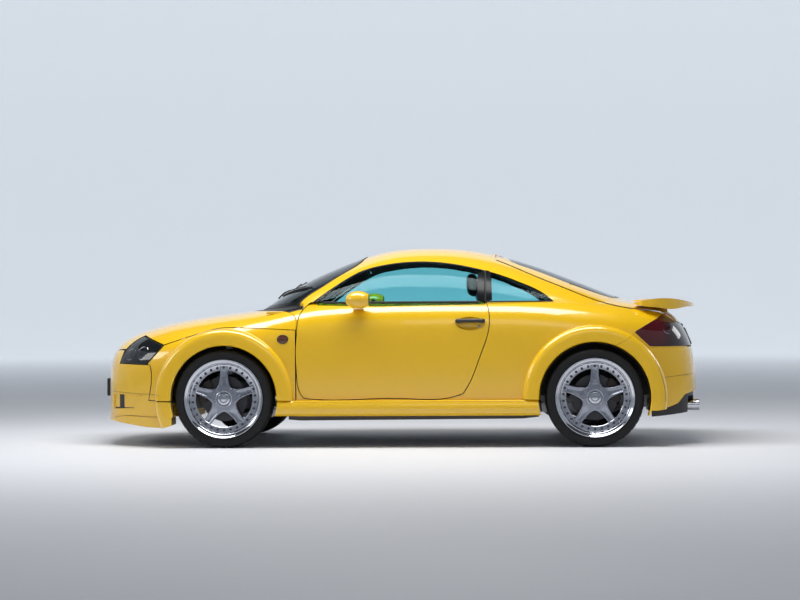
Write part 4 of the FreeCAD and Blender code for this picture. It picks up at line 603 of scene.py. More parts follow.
def even(loop, gap):
    """Space the points of a closed loop evenly."""
    ring = loop + loop[:1]
    lengths = [(b - a).length for a, b in zip(ring, ring[1:])]
    total = sum(lengths)
    count = max(8, int(total / gap))
    points = []
    cell, base = 0, 0.0
    for k in range(count):
        goal = total * k / count
        while cell < len(lengths) - 1 and base + lengths[cell] < goal:
            base += lengths[cell]
            cell += 1
        points.append(ring[cell].lerp(ring[cell + 1], min(1.0, (goal - base) / max(lengths[cell], 1e-9))))
    return points


def outward(centre):
    return lambda c, n: n.dot(c - centre) > 0.35 * (c - centre).length


def seal(name, node, centre, radius, body="chassis", sink=0.0):
    """Run a rubber profile round a pane or a lamp."""
    loops = edge_loops(skin_faces(node, -sink, outward(centre)))
    if loops:
        make(name, tube(even(loops[0], 0.018), radius, steps=8, closed=True), SEAL, body)


# ---- lining of the cabin and the boot; the side trim ends and the roof lining starts at TRIM_TOP
TRIM_TOP = 0.93


def inside(c, n, reach=0.45):
    """Say whether a face of the shell looks into the cabin."""
    to = Vector((0, -c.y, 0.72 - c.z if c.z > 0.9 else 0))
    return to.length > 0.05 and n.dot(to.normalized()) > reach


def in_cabin(c, n):
    return -0.66 < c.x < 1.93 and c.z > 0.23 and inside(c, n)


make("roof_lining", skin_faces("body_shell", 0.003, lambda c, n: c.z > TRIM_TOP and in_cabin(c, n)),
     (HEADLINING, "interior_plastic"))
make("side_trim", skin_faces("body_shell", 0.003, lambda c, n: c.z <= TRIM_TOP and in_cabin(c, n)), CABIN)
make("tailgate_trim", skin_faces("tailgate", 0.003, lambda c, n: inside(c, n, 0.3) and c.x < 1.83), CABIN,
     "boot_lid")
make("carpet", skin_faces("floor_pan", 0.004, lambda c, n: n.z > 0.6 and -0.69 < c.x < 1.8 and c.z < 0.55),
     (CARPET, "interior_plastic"))
for tag, sign, door in SIDES:
    make("door_card" + tag, skin_faces("door" + tag, 0.003, lambda c, n: n.y * sign < -0.45), DOOR_HIDE, door)


# ---- panes, seals and pillars; each pane's aim is the point that it bulges away from
SCREEN_AIM = Vector((0.1, 0, 0.6))
REAR_AIM = Vector((0.6, 0, 0.4))
BELT_LINE = 0.953
# Outline of a door behind the front axle, seen from the side
DOOR_EDGE = [(0.6, 0.317), (0.8, 0.319), (1.154, 0.323), (1.4, 0.331), (1.513, 0.335), (1.565, 0.354),
             (1.598, 0.406), (1.638, 0.504), (1.678, 0.602), (1.71, 0.69), (1.731, 0.764), (1.737, 0.842),
             (1.728, 0.9), (1.716, 0.94)]
DOOR_MIDDLE = Vector((1.1, 0, 0.62))


def side_aim(x, sign):
    return Vector((x, sign * 0.2, 0.85))


seal("windscreen_seal", "windscreen", SCREEN_AIM, 0.005)
seal("rear_window_seal", "rear_window", REAR_AIM, 0.006, "boot_lid")
for tag, sign, door in SIDES:
    seal("door_window_seal" + tag, "door_window" + tag, side_aim(0.1, sign), 0.004, door)
    seal("quarter_seal" + tag, "quarter_window" + tag, side_aim(0.7, sign), 0.004)
    pane = tree_of("door_window" + tag, "quarter_window" + tag, "body_shell", "door" + tag)
    for place, start, stop, body in (("door", 1.662, 1.7062, door), ("quarter", 1.716, 1.738, "chassis")):
        rows = [[on_side(pane, fx(start + (stop - start) * j / 4), BELT_LINE + 0.201 * k / 14, sign, 0.0015)
                 for j in range(5)] for k in range(15)]
        make("pillar_cover_" + place + tag, grid([row for row in rows if None not in row]), BLACK_GLASS, body)
    skin = tree_of("door" + tag)
    jamb = []
    for p in smooth_path([(x, 0, z) for x, z in DOOR_EDGE], 90):
        inner = p + (DOOR_MIDDLE - p).normalized() * 0.007
        hit = on_side(skin, fx(inner.x), inner.z, sign)
        if hit:
            jamb.append(hit + (p - inner) * 1.3 + Vector((0, -sign * 0.021, 0)))
    make("door_jamb_seal" + tag, tube(jamb, 0.0075, steps=8, up=SIDEWAYS), SEAL)
    belt = found([on_side(pane, fx(0.6 + 1.53 * k / 40), 0.9462, sign, 0.001) for k in range(41)])
    make("belt_moulding" + tag, tube([p for p in belt if p.x < fx(1.7)], 0.004, 0.008, 8), SEAL, door)


# ---- black borders of the glass
def border(name, node, aim, reach, body="chassis"):
    """Blacken a band along a pane's edge; reach gives its width at each point."""
    lift, strips = 0.0009, 4
    loops = edge_loops(skin_faces(node, lift, outward(aim)))
    if not loops:
        return
    rim = even(loops[0], 0.012)
    middle = sum(rim, Vector()) / len(rim)
    tree = tree_of(node)
    rows = []
    for k, point in enumerate(rim):
        facing = (point - aim).normalized()
        side = facing.cross(rim[(k + 1) % len(rim)] - rim[k - 1]).normalized()
        side = side if side.dot(middle - point) > 0 else -side
        row = []
        for n in range(strips + 1):
            hit, normal, index, far = tree.find_nearest(point + side * reach(point) * n / strips)
            row.append(hit + (normal if normal.dot(facing) > 0 else -normal) * lift)
        rows.append(row)
    make(name, grid(rows, True), BLACK_GLASS, body)


border("windscreen_border", "windscreen", SCREEN_AIM, lambda p: 0.045 if p.z < 1.0 else 0.03)
border("rear_window_border", "rear_window", REAR_AIM, lambda p: 0.034, "boot_lid")
for tag, sign, door in SIDES:
    border("door_window_border" + tag, "door_window" + tag, side_aim(0.1, sign),
           lambda p: 0.002 if p.z < BELT_LINE else 0.026, door)
    border("quarter_border" + tag, "quarter_window" + tag, side_aim(0.7, sign),
           lambda p: 0.002 if p.z < BELT_LINE else 0.04)


# ---- lamps
REPEATER_X, REPEATER_Z = 0.388, 0.7095


def lamp_bowl(place, radius, deep):
    """Return a reflector bowl that opens along the outward axis of a place."""
    profile = [(radius * 1.08, 0.002), (radius * 1.02, 0.004), (radius * 0.97, 0.0)]
    profile += [(radius * sqrt(1 - t * t) * 0.95, -deep * t) for t in (0.1, 0.3, 0.5, 0.7, 0.85, 0.95)]
    return revolved(profile + [(0.0001, -deep)], 48, place)


def on_wing(tree, sign, wide, tall, angle, lift):
    """Return a point of an oval round the side repeater, on the fender's skin."""
    return on_side(tree, fx(REPEATER_X) + wide * cos(angle), REPEATER_Z + tall * sin(angle), sign, lift)


for tag, sign, door in SIDES:
    aim = Vector((fx(-0.35), sign * 0.3, 0.5))
    make("headlight_housing" + tag, skin_faces("headlight" + tag, -0.03, outward(aim)), TRIM)
    seal("headlight_seal" + tag, "headlight" + tag, aim, 0.0025, sink=0.001)
    lamp = tree_of("headlight" + tag)
    bowls, bulbs = [], []
    for x, z, radius in ((-0.655, 0.612, 0.04), (-0.565, 0.622, 0.044), (-0.5, 0.64, 0.022)):
        place = side_frame(lamp, fx(x), z, sign, -0.006)
        bulb = [(0.0001, -0.004), (radius * 0.28, -0.007), (radius * 0.38, -0.014), (radius * 0.38, -0.021)]
        bowls.append(lamp_bowl(place, radius, 0.022))
        bulbs.append(revolved(bulb, 24, place))
    make("headlight_reflectors" + tag, merge(*bowls), BRIGHT, angle=30)
    make("headlight_projectors" + tag, merge(*bulbs), (LENS_CORE, "lamp_lens"))
    aim = Vector((fx(2.6), sign * 0.3, 0.6))
    make("tail_lamp_housing" + tag, skin_faces("tail_lamp" + tag, -0.028, outward(aim)), (DARK_RED, "tail_lens"))
    seal("tail_lamp_seal" + tag, "tail_lamp" + tag, aim, 0.0022, sink=0.001)
    lamp = tree_of("tail_lamp" + tag)
    bowls = [lamp_bowl(side_frame(lamp, fx(x), z, sign, -0.006), radius, 0.018)
             for x, z, radius in ((2.905, 0.765, 0.036), (2.975, 0.715, 0.03))]
    make("tail_lamp_reflectors" + tag, merge(*bowls), BRIGHT, angle=30)
    fender = tree_of("fender" + tag)
    rows = [[on_wing(fender, sign, 0.034 * t, 0.0265 * t, a, 0.0012 + 0.0065 * (1 - t ** 2.5)) for a in circle(28)]
            for t in (0, 0.2, 0.4, 0.6, 0.8, 1)]
    make("repeater_lamp" + tag, grid(rows, False, True), (AMBER, "lamp_lens"))
    ring = [on_wing(fender, sign, 0.0355, 0.028, a, 0.001) for a in circle(32)]
    make("repeater_seal" + tag, tube(ring, 0.0022, steps=6, closed=True), SEAL)


# ---- front end: grilles, vanes and the blank plate
NOSE_START, TAIL_START = -4, 4
GRILLE = tree_of("front_grille")
PLATE_EDGE = mm([(-260, -50.5), (-255.5, -55), (255.5, -55), (260, -50.5), (260, 50.5), (255.5, 55), (-255.5, 55),
                 (-260, 50.5)])
HOLDER_EDGE = [(x * 1.02, z * 1.09) for x, z in PLATE_EDGE]
slats = []
for low, high, half, widen, count in ((0.508, 0.592, 0.335, 0.04, 5), (0.236, 0.336, 0.375, -0.03, 6)):
    for k in range(count):
        z = low + (high - low) * k / (count - 1)
        wide = half + widen * k / (count - 1) - 0.01
        line = found([on_end(GRILLE, NOSE_START, -wide + 2 * wide * j / 32, z, 0.001) for j in range(33)])
        if len(line) > 4:
            slats.append(tube(line, 0.006, 0.0032, 8))
    for k in range(int(2 * half / 0.05)):
        y = -half + 0.05 * (k + 0.5)
        line = found([on_end(GRILLE, NOSE_START, y, low + (high - low) * j / 6, 0.0005) for j in range(7)])
        if len(line) > 3:
            slats.append(tube(line, 0.0022, steps=6, up=FORWARD))
make("grille_slats", merge(*slats), TRIM, angle=40)
for tag, sign, door in SIDES:
    vanes = []
    for x0, x1 in ((-0.79, -0.737), (-0.699, -0.575)):
        rows = [[on_side(GRILLE, fx(x0 + (x1 - x0) * j / 8), 0.258 + 0.092 * k / 8, sign, 0.0012) for k in range(9)]
                for j in range(9)]
        rows = [row for row in rows if None not in row]
        if len(rows) > 1:
            vanes.append(grid(rows))
    if vanes:
        make("intake_vanes" + tag, merge(*vanes), (PAINT, "body_paint"), angle=40)
plate = moved(prism(PLATE_EDGE, 0.0, 0.0016), shift(-2.0135, 0, 0.381) @ turn(90, "Z"))
soften(make("front_plate_blank", plate, BLANK, angle=30), 0.0006)
holder = moved(prism(HOLDER_EDGE, -0.022, 0.0), shift(-2.0118, 0, 0.381) @ turn(90, "Z"))
make("front_plate_holder", holder, TRIM, angle=30)


# ---- tail: blank plate, the lamps above it and the high brake lamp
TAIL = tree_of("tailgate", "rear_bumper")
ROOF_END = tree_of("tailgate", "rear_window")
low, high = [on_end(TAIL, TAIL_START, 0, z).x for z in (0.655, 0.765)]
rear_place = (shift((high + low) / 2, 0, 0.71) @ Matrix.Rotation(atan2(high - low, 0.11), 4, "Y")
              @ turn(-90, "Z"))
make("rear_plate_holder", moved(prism(HOLDER_EDGE, -0.016, 0.006), rear_place), TRIM, "boot_lid", 30)
plate = moved(prism(PLATE_EDGE, 0.006, 0.0076), rear_place)
soften(make("rear_plate_blank", plate, BLANK, "boot_lid", 30), 0.0006)
rows = [[on_end(TAIL, TAIL_START, -0.19 + 0.38 * k / 24, z, lift) for k in range(25)]
        for z, lift in ((0.8, 0.001), (0.797, 0.01), (0.788, 0.014), (0.78, 0.012), (0.777, 0.001))]
make("plate_lamp_strip", grid(rows), TRIM, "boot_lid", 50)
rows = [[on_top(ROOF_END, x, -0.15 + 0.3 * k / 20, lift) for k in range(21)]
        for x, lift in ((0.662, 0.001), (0.668, 0.004), (0.684, 0.0045), (0.694, 0.004), (0.7, 0.001))]
if all(None not in row for row in rows):
    make("high_brake_lamp", grid(rows), (RED_LENS, "tail_lens"), "boot_lid", 50)


# ---- seams of the body kit and the strips under the sills
BUMPER_SEAM = [(-0.8, 0.362), (-0.66, 0.355), (-0.545, 0.35), (-0.425, 0.345)]
LIP_SEAM = [(-0.78, 0.189), (-0.66, 0.205), (-0.54, 0.199), (-0.43, 0.197)]
REAR_SEAM = [(2.879, 0.447), (2.97, 0.456), (3.085, 0.467)]
FLARE_SEAM = [(2.802, 0.601), (2.844, 0.481), (2.871, 0.382), (2.878, 0.297)]
SKIRT_SEAM = [(0.38, 0.3), (1.2, 0.3), (2.0, 0.3)]
SILL_STRIP = from_axle([(0.42, 0.182), (0.5, 0.176), (1.95, 0.184), (2.06, 0.196), (2.06, 0.226), (0.42, 0.226)])


def seam(name, tree, points, sign):
    """Run a thin dark line through a side view's points on the skin."""
    path = smooth_path([(x, 0, z) for x, z in points], max(8, 6 * len(points)))
    line = found([on_side(tree, fx(p.x), p.z, sign, -0.0002) for p in path])
    if len(line) > 3:
        make(name, tube(line, 0.0014, steps=6), SEAL)


for tag, sign, door in SIDES:
    nose = tree_of("front_bumper", "fender" + tag)
    tail = tree_of("rear_bumper", "body_shell")
    seam("bumper_seam" + tag, nose, BUMPER_SEAM, sign)
    seam("lip_seam" + tag, nose, LIP_SEAM, sign)
    seam("rear_bumper_seam" + tag, tail, REAR_SEAM, sign)
    seam("rear_flare_seam" + tag, tail, FLARE_SEAM, sign)
    soften(make("sill_strip" + tag, prism(SILL_STRIP, sign * 0.77, sign * 0.8), COATING, angle=40), 0.004, 2)
    seam("skirt_seam" + tag, tree_of("side_skirt" + tag), SKIRT_SEAM, sign)


# ---- mirrors, locks, handles and arm rests of the doors
MIRROR_FACE = mm([(0.1, 0.8), (30, 0.7), (37.5, 0)])
MIRROR_RIM = mm([(37.2, -1), (37.5, 2.2), (40, 3), (42, 1.2), (42.4, -2)])
LOCK_PROFILE = mm([(0.1, 1.5), (7, 1.5), (9.5, 1), (10.5, -1)])
ARM_REST = from_axle([(0.8, 0.64), (0.84, 0.668), (1.3, 0.69), (1.42, 0.7), (1.46, 0.68), (1.44, 0.635),
                      (1.2, 0.612), (0.86, 0.6)])
HANDLE_STEPS = 16


def handle(panel, sign):
    """Return a grip with thick flat ends, bowed along a door's skin."""
    ends = [on_side(panel, fx(x), 0.8235, sign) for x in (1.516, 1.712)]
    rows = []
    for k in range(HANDLE_STEPS + 1):
        middle = ends[0].lerp(ends[1], k / HANDLE_STEPS) + Vector((0, sign * 0.0035, 0))
        tip = k in (0, HANDLE_STEPS)
        tall = 0.0125 + 0.0055 * abs(2 * k / HANDLE_STEPS - 1) ** 5 - (0.011 if tip else 0)
        rows.append([middle + Vector((0, 0.0115 * sin(a) * (0.4 if tip else 1), tall * cos(a))) for a in circle(16)])
    return capped(rows)


for tag, sign, door in SIDES:
    facing = shift(fx(0.889) + 0.0662, sign * 0.8755, 0.965) @ turn(-90, "Z") @ Matrix.Diagonal((1, 1, 0.88, 1))
    make("mirror_glass" + tag, revolved(MIRROR_FACE, 48, facing), MIRROR, door)
    make("mirror_surround" + tag, revolved(MIRROR_RIM, 48, facing), TRIM, door)
    panel = tree_of("door" + tag)
    lock = revolved(LOCK_PROFILE, 24, side_frame(panel, fx(1.675), 0.79, sign))
    make("door_lock" + tag, lock, BRIGHT, door, 40)
    make("door_handle" + tag, handle(panel, sign), TRIM, door, 50)
    card = on_side(panel, fx(1.1), 0.6, -sign).y
    soften(make("arm_rest" + tag, prism(ARM_REST, card, card - sign * 0.055), DOOR_HIDE, door, 40), 0.012, 4)
    pull = [Vector((fx(0.8) + 0.13 * t, card - sign * (0.012 + 0.022 * sin(pi * t)), 0.755 + 0.01 * t))
            for t in [k / 12 for k in range(13)]]
    make("inner_handle" + tag, tube(pull, 0.006, 0.008), BRIGHT, door)


# ---- wipers: blade line from above, and the pivot
SCREEN_TREE = tree_of("windscreen", "scuttle_panel", "body_shell")
for name, pivot, points in (
        ("wiper_1", (0.285, -0.02), ((0.3, 0.06), (0.325, -0.12), (0.385, -0.3), (0.47, -0.44), (0.56, -0.535))),
        ("wiper_2", (0.345, 0.5), ((0.385, 0.55), (0.35, 0.4), (0.352, 0.22), (0.405, 0.06), (0.48, -0.08)))):
    line = found([on_top(SCREEN_TREE, fx(p.x), p.y, 0.004) for p in smooth_path([(x, y, 0) for x, y in points], 24)])
    blade = tube(line, 0.003, 0.006, 8)
    bow = tube([p + Vector((-0.002, 0, 0.011)) for p in line[3:-3]], 0.005, 0.003, 8)
    ground = on_top(SCREEN_TREE, fx(pivot[0]), pivot[1], 0.012) or line[0]
    arm = smooth_path([ground, ground.lerp(line[12], 0.5) + UP * 0.016, line[12] + UP * 0.014], 12)
    make(name, merge(blade, bow, tube(arm, 0.006, 0.004, 8)), SEAL, angle=50)


# ---- ring and screws of the fuel flap, and the tail pipes
FLAP = side_frame(tree_of("fuel_flap"), fx(2.192), 0.8448, 1)
FLAP_RING = mm([(50, 0.5), (50.5, 4), (53, 5.2), (64, 4), (66.5, 2.6), (67, -1)])
SCREW = mm([(0.1, 6.8), (3.4, 6.6), (4.4, 5.2), (4.6, 3)])
PIPE_END = mm([(34.8, -175), (35.2, -20), (36.2, -4), (37.2, 0), (36.6, 2.5), (34.5, 1.5), (32.5, -6), (31.2, -30),
               (30.5, -90)])
make("fuel_flap_ring", revolved(FLAP_RING, 64, FLAP), BRIGHT, "flap", 30)
make("fuel_flap_screws", moved(ring_of(revolved(SCREW, 16), 8, 0.0585), FLAP), (BOLT, "steel"), "flap", 40)
for name, y in (("tail_pipe_1", -0.38675), ("tail_pipe_2", -0.47175)):
    make(name, revolved(PIPE_END, 64, shift(fx(3.125), y, 0.25608) @ turn(-90, "Z")), BRIGHT_STEEL, angle=40)


# ---- padded covers of the seats
CLOTH_FRAMES = 20
CLOTH_PRESSURE = 4
VOXEL = 0.0085
CHANNEL_HALF, CHANNEL_DEPTH = 0.012, 0.006
PAD_ROWS, PAD_COLUMNS = 26, 40
BOTH = (("_left", 1), ("_right", -1))


def evaluated(piece):
    """Return the mesh that a piece has with its modifiers."""
    return bpy.data.meshes.new_from_object(piece.evaluated_get(bpy.context.evaluated_depsgraph_get()))


def swell(piece, cap):
    """Let a closed pad swell as pressurised cloth and keep the result in its mesh."""
    voxels = piece.modifiers.new("Voxels", "REMESH")
    voxels.mode = "VOXEL"
    voxels.voxel_size = VOXEL
    piece.data = evaluated(piece)
    piece.modifiers.clear()
    rest = [v.co.copy() for v in piece.data.vertices]
    cloth = piece.modifiers.new("Cloth", "CLOTH")
    cloth.settings.use_pressure = True
    cloth.settings.uniform_pressure_force = CLOTH_PRESSURE
    cloth.settings.effector_weights.gravity = 0
    cloth.point_cache.frame_start = 1
    cloth.point_cache.frame_end = CLOTH_FRAMES
    for number in range(1, CLOTH_FRAMES + 1):
        SCENE.frame_set(number)
    grown = evaluated(piece)
    piece.modifiers.clear()
    SCENE.frame_set(1)
    for vert, start in zip(grown.vertices, rest):
        move = vert.co - start
        if move.length > cap:
            vert.co = start + move.normalized() * cap
    piece.data = grown


def pad_form(stations, y, bolster=0.0, power=3.4):
    """Return a closed pad along stations of (x behind the front axle, z, half width, half thickness)."""
    spine = smooth_path([(fx(x), 0, z) for x, z, wide, thick in stations], PAD_ROWS)
    sizes = smooth_path([(wide, thick, 0) for x, z, wide, thick in stations], PAD_ROWS)
    rows = []
    for i, (centre, size) in enumerate(zip(spine, sizes)):
        along = (spine[min(i + 1, PAD_ROWS)] - spine[max(i - 1, 0)]).normalized()
        over = Vector((-along.z, 0, along.x))
        shrink = min(1.0, 0.6 + 2.2 * sqrt(min(i, PAD_ROWS - i) / PAD_ROWS))
        row = []
        for a in circle(PAD_COLUMNS):
            u = copysign(abs(cos(a)) ** (2 / power), cos(a))
            v = copysign(abs(sin(a)) ** (2 / power), sin(a))
            rise = bolster * abs(u) ** 3 * max(v, 0) * shrink
            row.append(Vector((centre.x, y + u * size.x * (0.5 + shrink / 2), centre.z))
                       + over * (v * size.y * shrink + rise))
        rows.append(row)
    return capped(rows)


def pads(name, form, lines, cap=0.011):
    """Swell a left pad, sew its channels and place it and its mirror image.

    A line is a channel: its axis, its place along it, and how far it runs each way from the pad's middle.
    """
    piece = bpy.data.objects.new(name, mesh_of(name, form))
    SCENE.collection.objects.link(piece)
    swell(piece, cap)
    bm = bmesh.new()
    bm.from_mesh(piece.data)
    bmesh.ops.recalc_face_normals(bm, faces=bm.faces)
    bm.normal_update()
    middle = sum((v.co.y for v in bm.verts)) / len(bm.verts)
    for vert in bm.verts:
        across = abs(vert.co.y - middle)
        sink = 0.0
        for axis, place, half in lines:
            off = abs((across if axis == "y" else getattr(vert.co, axis)) - place)
            if off < CHANNEL_HALF and (axis == "y" or across < half):
                sink = max(sink, CHANNEL_DEPTH * (1 - (off / CHANNEL_HALF) ** 2))
        vert.co -= vert.normal * sink
    kept = []
    for tag, sign in BOTH:
        twin = bm.copy()
        if sign < 0:
            for vert in twin.verts:
                vert.co.y = -vert.co.y
            bmesh.ops.reverse_faces(twin, faces=twin.faces)
        cover = bpy.data.meshes.new(name + tag)
        twin.to_mesh(cover)
        twin.free()
        kept.append(add(name + tag, cover, HIDE))
    bm.free()
    bpy.data.objects.remove(piece)
    return kept


# ---- front seats
SEAT_Y = -0.366
SQUAB = [(1.52, 0.4, 0.205, 0.05), (1.545, 0.52, 0.222, 0.056), (1.59, 0.7, 0.222, 0.052),
         (1.64, 0.86, 0.2, 0.044), (1.672, 0.95, 0.15, 0.034)]
CUSHION = [(1.08, 0.392, 0.195, 0.052), (1.2, 0.392, 0.212, 0.06), (1.35, 0.38, 0.215, 0.06),
           (1.475, 0.368, 0.205, 0.056)]
HEADREST = [(1.632, 0.992, 0.1, 0.03), (1.626, 1.05, 0.118, 0.04), (1.622, 1.1, 0.112, 0.036),
            (1.622, 1.136, 0.085, 0.024)]
BACK_SHELL = from_axle([(1.575, 0.36), (1.64, 0.42), (1.69, 0.66), (1.736, 0.9), (1.722, 0.945), (1.7, 0.94),
                        (1.65, 0.72), (1.605, 0.5), (1.57, 0.42)])
BASE = from_axle([(1.09, 0.305), (1.1, 0.285), (1.53, 0.275), (1.6, 0.325), (1.6, 0.4), (1.56, 0.39),
                  (1.5, 0.335), (1.12, 0.335)])
RAIL = from_axle([(1.1, 0.236), (1.56, 0.236), (1.56, 0.262), (1.5, 0.285), (1.14, 0.285), (1.1, 0.262)])
RAIL_OFF, POST_OFF = 0.14, 0.05
squabs = pads("seat_squab", pad_form(SQUAB, SEAT_Y, 0.034),
              [("z", z, 0.118) for z in (0.6, 0.68, 0.76, 0.84)] + [("y", 0.125, 0)])
pads("seat_cushion", pad_form(CUSHION, SEAT_Y, 0.03),
     [("x", fx(x), 0.118) for x in (1.16, 1.25, 1.34)] + [("y", 0.125, 0)])
pads("seat_headrest", pad_form(HEADREST, SEAT_Y, power=2.8), [], 0.008)
for (tag, sign), squab in zip(BOTH, squabs):
    y = SEAT_Y * sign
    for name, outline, half, edge in (("seat_shell", BACK_SHELL, 0.185, 0.01), ("seat_base", BASE, 0.205, 0.008)):
        soften(make(name + tag, prism(outline, y - half, y + half), CABIN, angle=40), edge, 3)
    rails = [prism(RAIL, y + off - 0.014, y + off + 0.014) for off in (-RAIL_OFF, RAIL_OFF)]
    soften(make("seat_rails" + tag, merge(*rails), (STEEL, "steel"), angle=30), 0.002, 3)
    posts = [smooth_path([(fx(x), y + off, z) for x, z in ((1.672, 0.925), (1.652, 0.98), (1.636, 1.04))], 10)
             for off in (-POST_OFF, POST_OFF)]
    make("headrest_posts" + tag, merge(*[tube(line, 0.0055, steps=12, up=SIDEWAYS) for line in posts]), BRIGHT_STEEL)
    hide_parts("seat" + tag)


# ---- rear seats
REAR_SEAT_Y = -0.245
REAR_SQUAB = [(2.06, 0.52, 0.19, 0.036), (2.092, 0.64, 0.198, 0.04), (2.124, 0.76, 0.196, 0.036),
              (2.148, 0.838, 0.18, 0.022)]
REAR_CUSHION = [(1.86, 0.482, 0.185, 0.034), (1.94, 0.482, 0.196, 0.04), (2.035, 0.474, 0.19, 0.036)]
REAR_TRAY = from_axle([(1.84, 0.432), (2.1, 0.432), (2.1, 0.497), (1.9, 0.5), (1.84, 0.485)])
rear_squabs = pads("rear_squab", pad_form(REAR_SQUAB, REAR_SEAT_Y, 0.014), [("z", z, 0.16) for z in (0.64, 0.74)])
pads("rear_cushion", pad_form(REAR_CUSHION, REAR_SEAT_Y, 0.012), [("x", fx(1.945), 0.16)])
make("rear_tray", prism(REAR_TRAY, -0.029, 0.029), CABIN, angle=40)
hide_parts("rear_seats")


# ---- steering wheel, in a space whose y points along its column to the driver
TILT = radians(24)
COLUMN = Vector((cos(TILT), 0, sin(TILT)))
HELM = shift(-0.10565, -0.366, 0.792) @ Matrix((SIDEWAYS, COLUMN, COLUMN.cross(SIDEWAYS))).transposed().to_4x4()
HELM_HUB = mm([(0.1, 20), (30, 19), (48, 14), (56, 4), (58, -12), (46, -30), (30, -36), (28, -40)])
COWL = mm([(24, -52), (34, -56), (38, -70), (40, -140), (46, -220), (48, -260)])


def helm_rim(radius, wide, tall, lumps):
    """Return a steering wheel's ring, a little thicker at six places."""
    rows = []
    for a in circle(72):
        grip = 1 + lumps * cos(6 * a)
        rows.append([Vector(((radius + wide * grip * cos(b)) * cos(a), tall * grip * sin(b),
                             (radius + wide * grip * cos(b)) * sin(a))) for b in circle(16)])
    return grid(rows, True, True)


ring = make("helm_rim", moved(helm_rim(0.182, 0.015, 0.0135, 0.05), HELM), HIDE, "helm", 0)
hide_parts("steering_wheel")
spokes = []
for angle in (8, 172, 270):
    way = Vector((cos(radians(angle)), 0, sin(radians(angle))))
    line = [way * r + SIDEWAYS * (-0.012 * (1 - r / 0.18)) for r in (0.03, 0.06, 0.1, 0.14, 0.178)]
    spokes.append(tube(line, 0.016, 0.005, 14, up=SIDEWAYS))
make("helm_spokes", moved(merge(*spokes), HELM), LACQUER, "helm", 50)
make("helm_hub", revolved(HELM_HUB, 48, HELM), HIDE, "helm", 40)
stalks = [tube(smooth_path([(sign * 0.022, -0.058, 0.0), (sign * 0.07, -0.052, 0.008), (sign * 0.135, -0.04, 0.02)],
                           12), 0.006, 0.005) for sign in (-1, 1)]
make("column_stalks", moved(merge(*stalks), HELM), CABIN, angle=50)
make("column_cowl", revolved(COWL, 40, HELM), CABIN, angle=40)


# ---- dashboard
DASH = tree_of("dashboard")
VENTS = [(y, 0.775, 0.034) for y in (-0.56, 0.56, -0.13, 0.0, 0.13)]
KNOBS = [(-0.05, 0.6, 0.021), (0.05, 0.6, 0.021), (0.0, 0.555, 0.021)]
rings, fins = [], []
for y, z, radius in VENTS + KNOBS:
    at = on_end(DASH, 0.6, y, z) or Vector((fx(0.755), y, z))
    place = Matrix.Translation(at) @ turn(-90, "Z")
    rim = [(radius * 0.8, -0.004), (radius * 0.82, 0.004), (radius * 0.92, 0.0065), (radius, 0.004),
           (radius * 1.03, -0.004)]
    rings.append(revolved(rim, 40, place))
    fins += [revolved([(radius * s, 0.001), (radius * (s + 0.05), 0.003), (radius * (s + 0.1), 0.001)], 32, place)
             for s in (0.25, 0.45, 0.63)]
    fins.append(revolved([(0.0001, 0.0045), (radius * 0.14, 0.004), (radius * 0.16, -0.002)], 20, place))
make("dash_vent_rings", merge(*rings), BRIGHT, angle=40)
make("dash_vent_fins", merge(*fins), CABIN, angle=40)
rows = [[Vector((fx(0.6) + 0.155 * t, SEAT_Y + 0.165 * cos(a) * (1 - 0.1 * (1 - t)),
                 0.818 + (0.03 + 0.018 * t) * max(sin(a), 0) ** 0.8)) for a in [pi * k / 24 for k in range(25)]]
        for t in [i / 10 for i in range(11)]]
cluster = make("gauge_hood", grid(rows), CABIN, angle=50)
thick = cluster.modifiers.new("Thickness", "SOLIDIFY")
thick.thickness = 0.006
thick.offset = -1
dials = [revolved([(0.034, 0.012), (0.036, 0.018), (0.039, 0.016), (0.04, 0.0)], 40,
               shift(fx(0.742), y, 0.797) @ turn(-90, "Z")) for y in (-0.43, -0.302)]
make("gauge_rings", merge(*dials), BRIGHT, angle=40)


# ---- levers on the tunnel and the inside mirror
LEVER = mm([(0.1, 135), (14, 132), (21, 120), (22, 108), (14, 96), (7, 88), (6, 30), (12, 24), (40, 12), (52, -2)])
BRAKE_LINE = [(fx(x), 0.05, z) for x, z in ((1.22, 0.495), (1.16, 0.535), (1.05, 0.552))]
MIRROR_MID = Vector((fx(0.905), 0.0, 1.175))
make("gear_lever", revolved(LEVER, 36, shift(fx(1.02), 0, 0.502) @ turn(90, "X")), BRIGHT, angle=50)
make("hand_brake", tube(smooth_path(BRAKE_LINE, 14), 0.011, 0.013, 14), HIDE, angle=50)
make("inside_mirror", moved(ball((0.016, 0.112, 0.03), 14, 36), Matrix.Translation(MIRROR_MID)), CABIN, angle=0)
rows = [[MIRROR_MID + Vector((0.0165 - 0.002 * t ** 2, 0.104 * t * cos(a), 0.0235 * t * sin(a))) for a in circle(40)]
        for t in (0, 0.25, 0.5, 0.75, 1)]
make("inside_mirror_glass", grid(rows, False, True), MIRROR, angle=0)
stem = [MIRROR_MID + Vector((x, 0, z)) for x, z in ((-0.005, 0.02), (-0.012, 0.045), (-0.03, 0.062))]
make("inside_mirror_stem", tube(smooth_path(stem, 8), 0.007, up=SIDEWAYS), CABIN, angle=50)


# ---- floor, light and camera
FLOOR_FLAT, FLOOR_BEND, WALL_TOP = 26.0, 8.0, 26.0
SKY_COLOR = (0.86, 0.93, 1.0, 1)


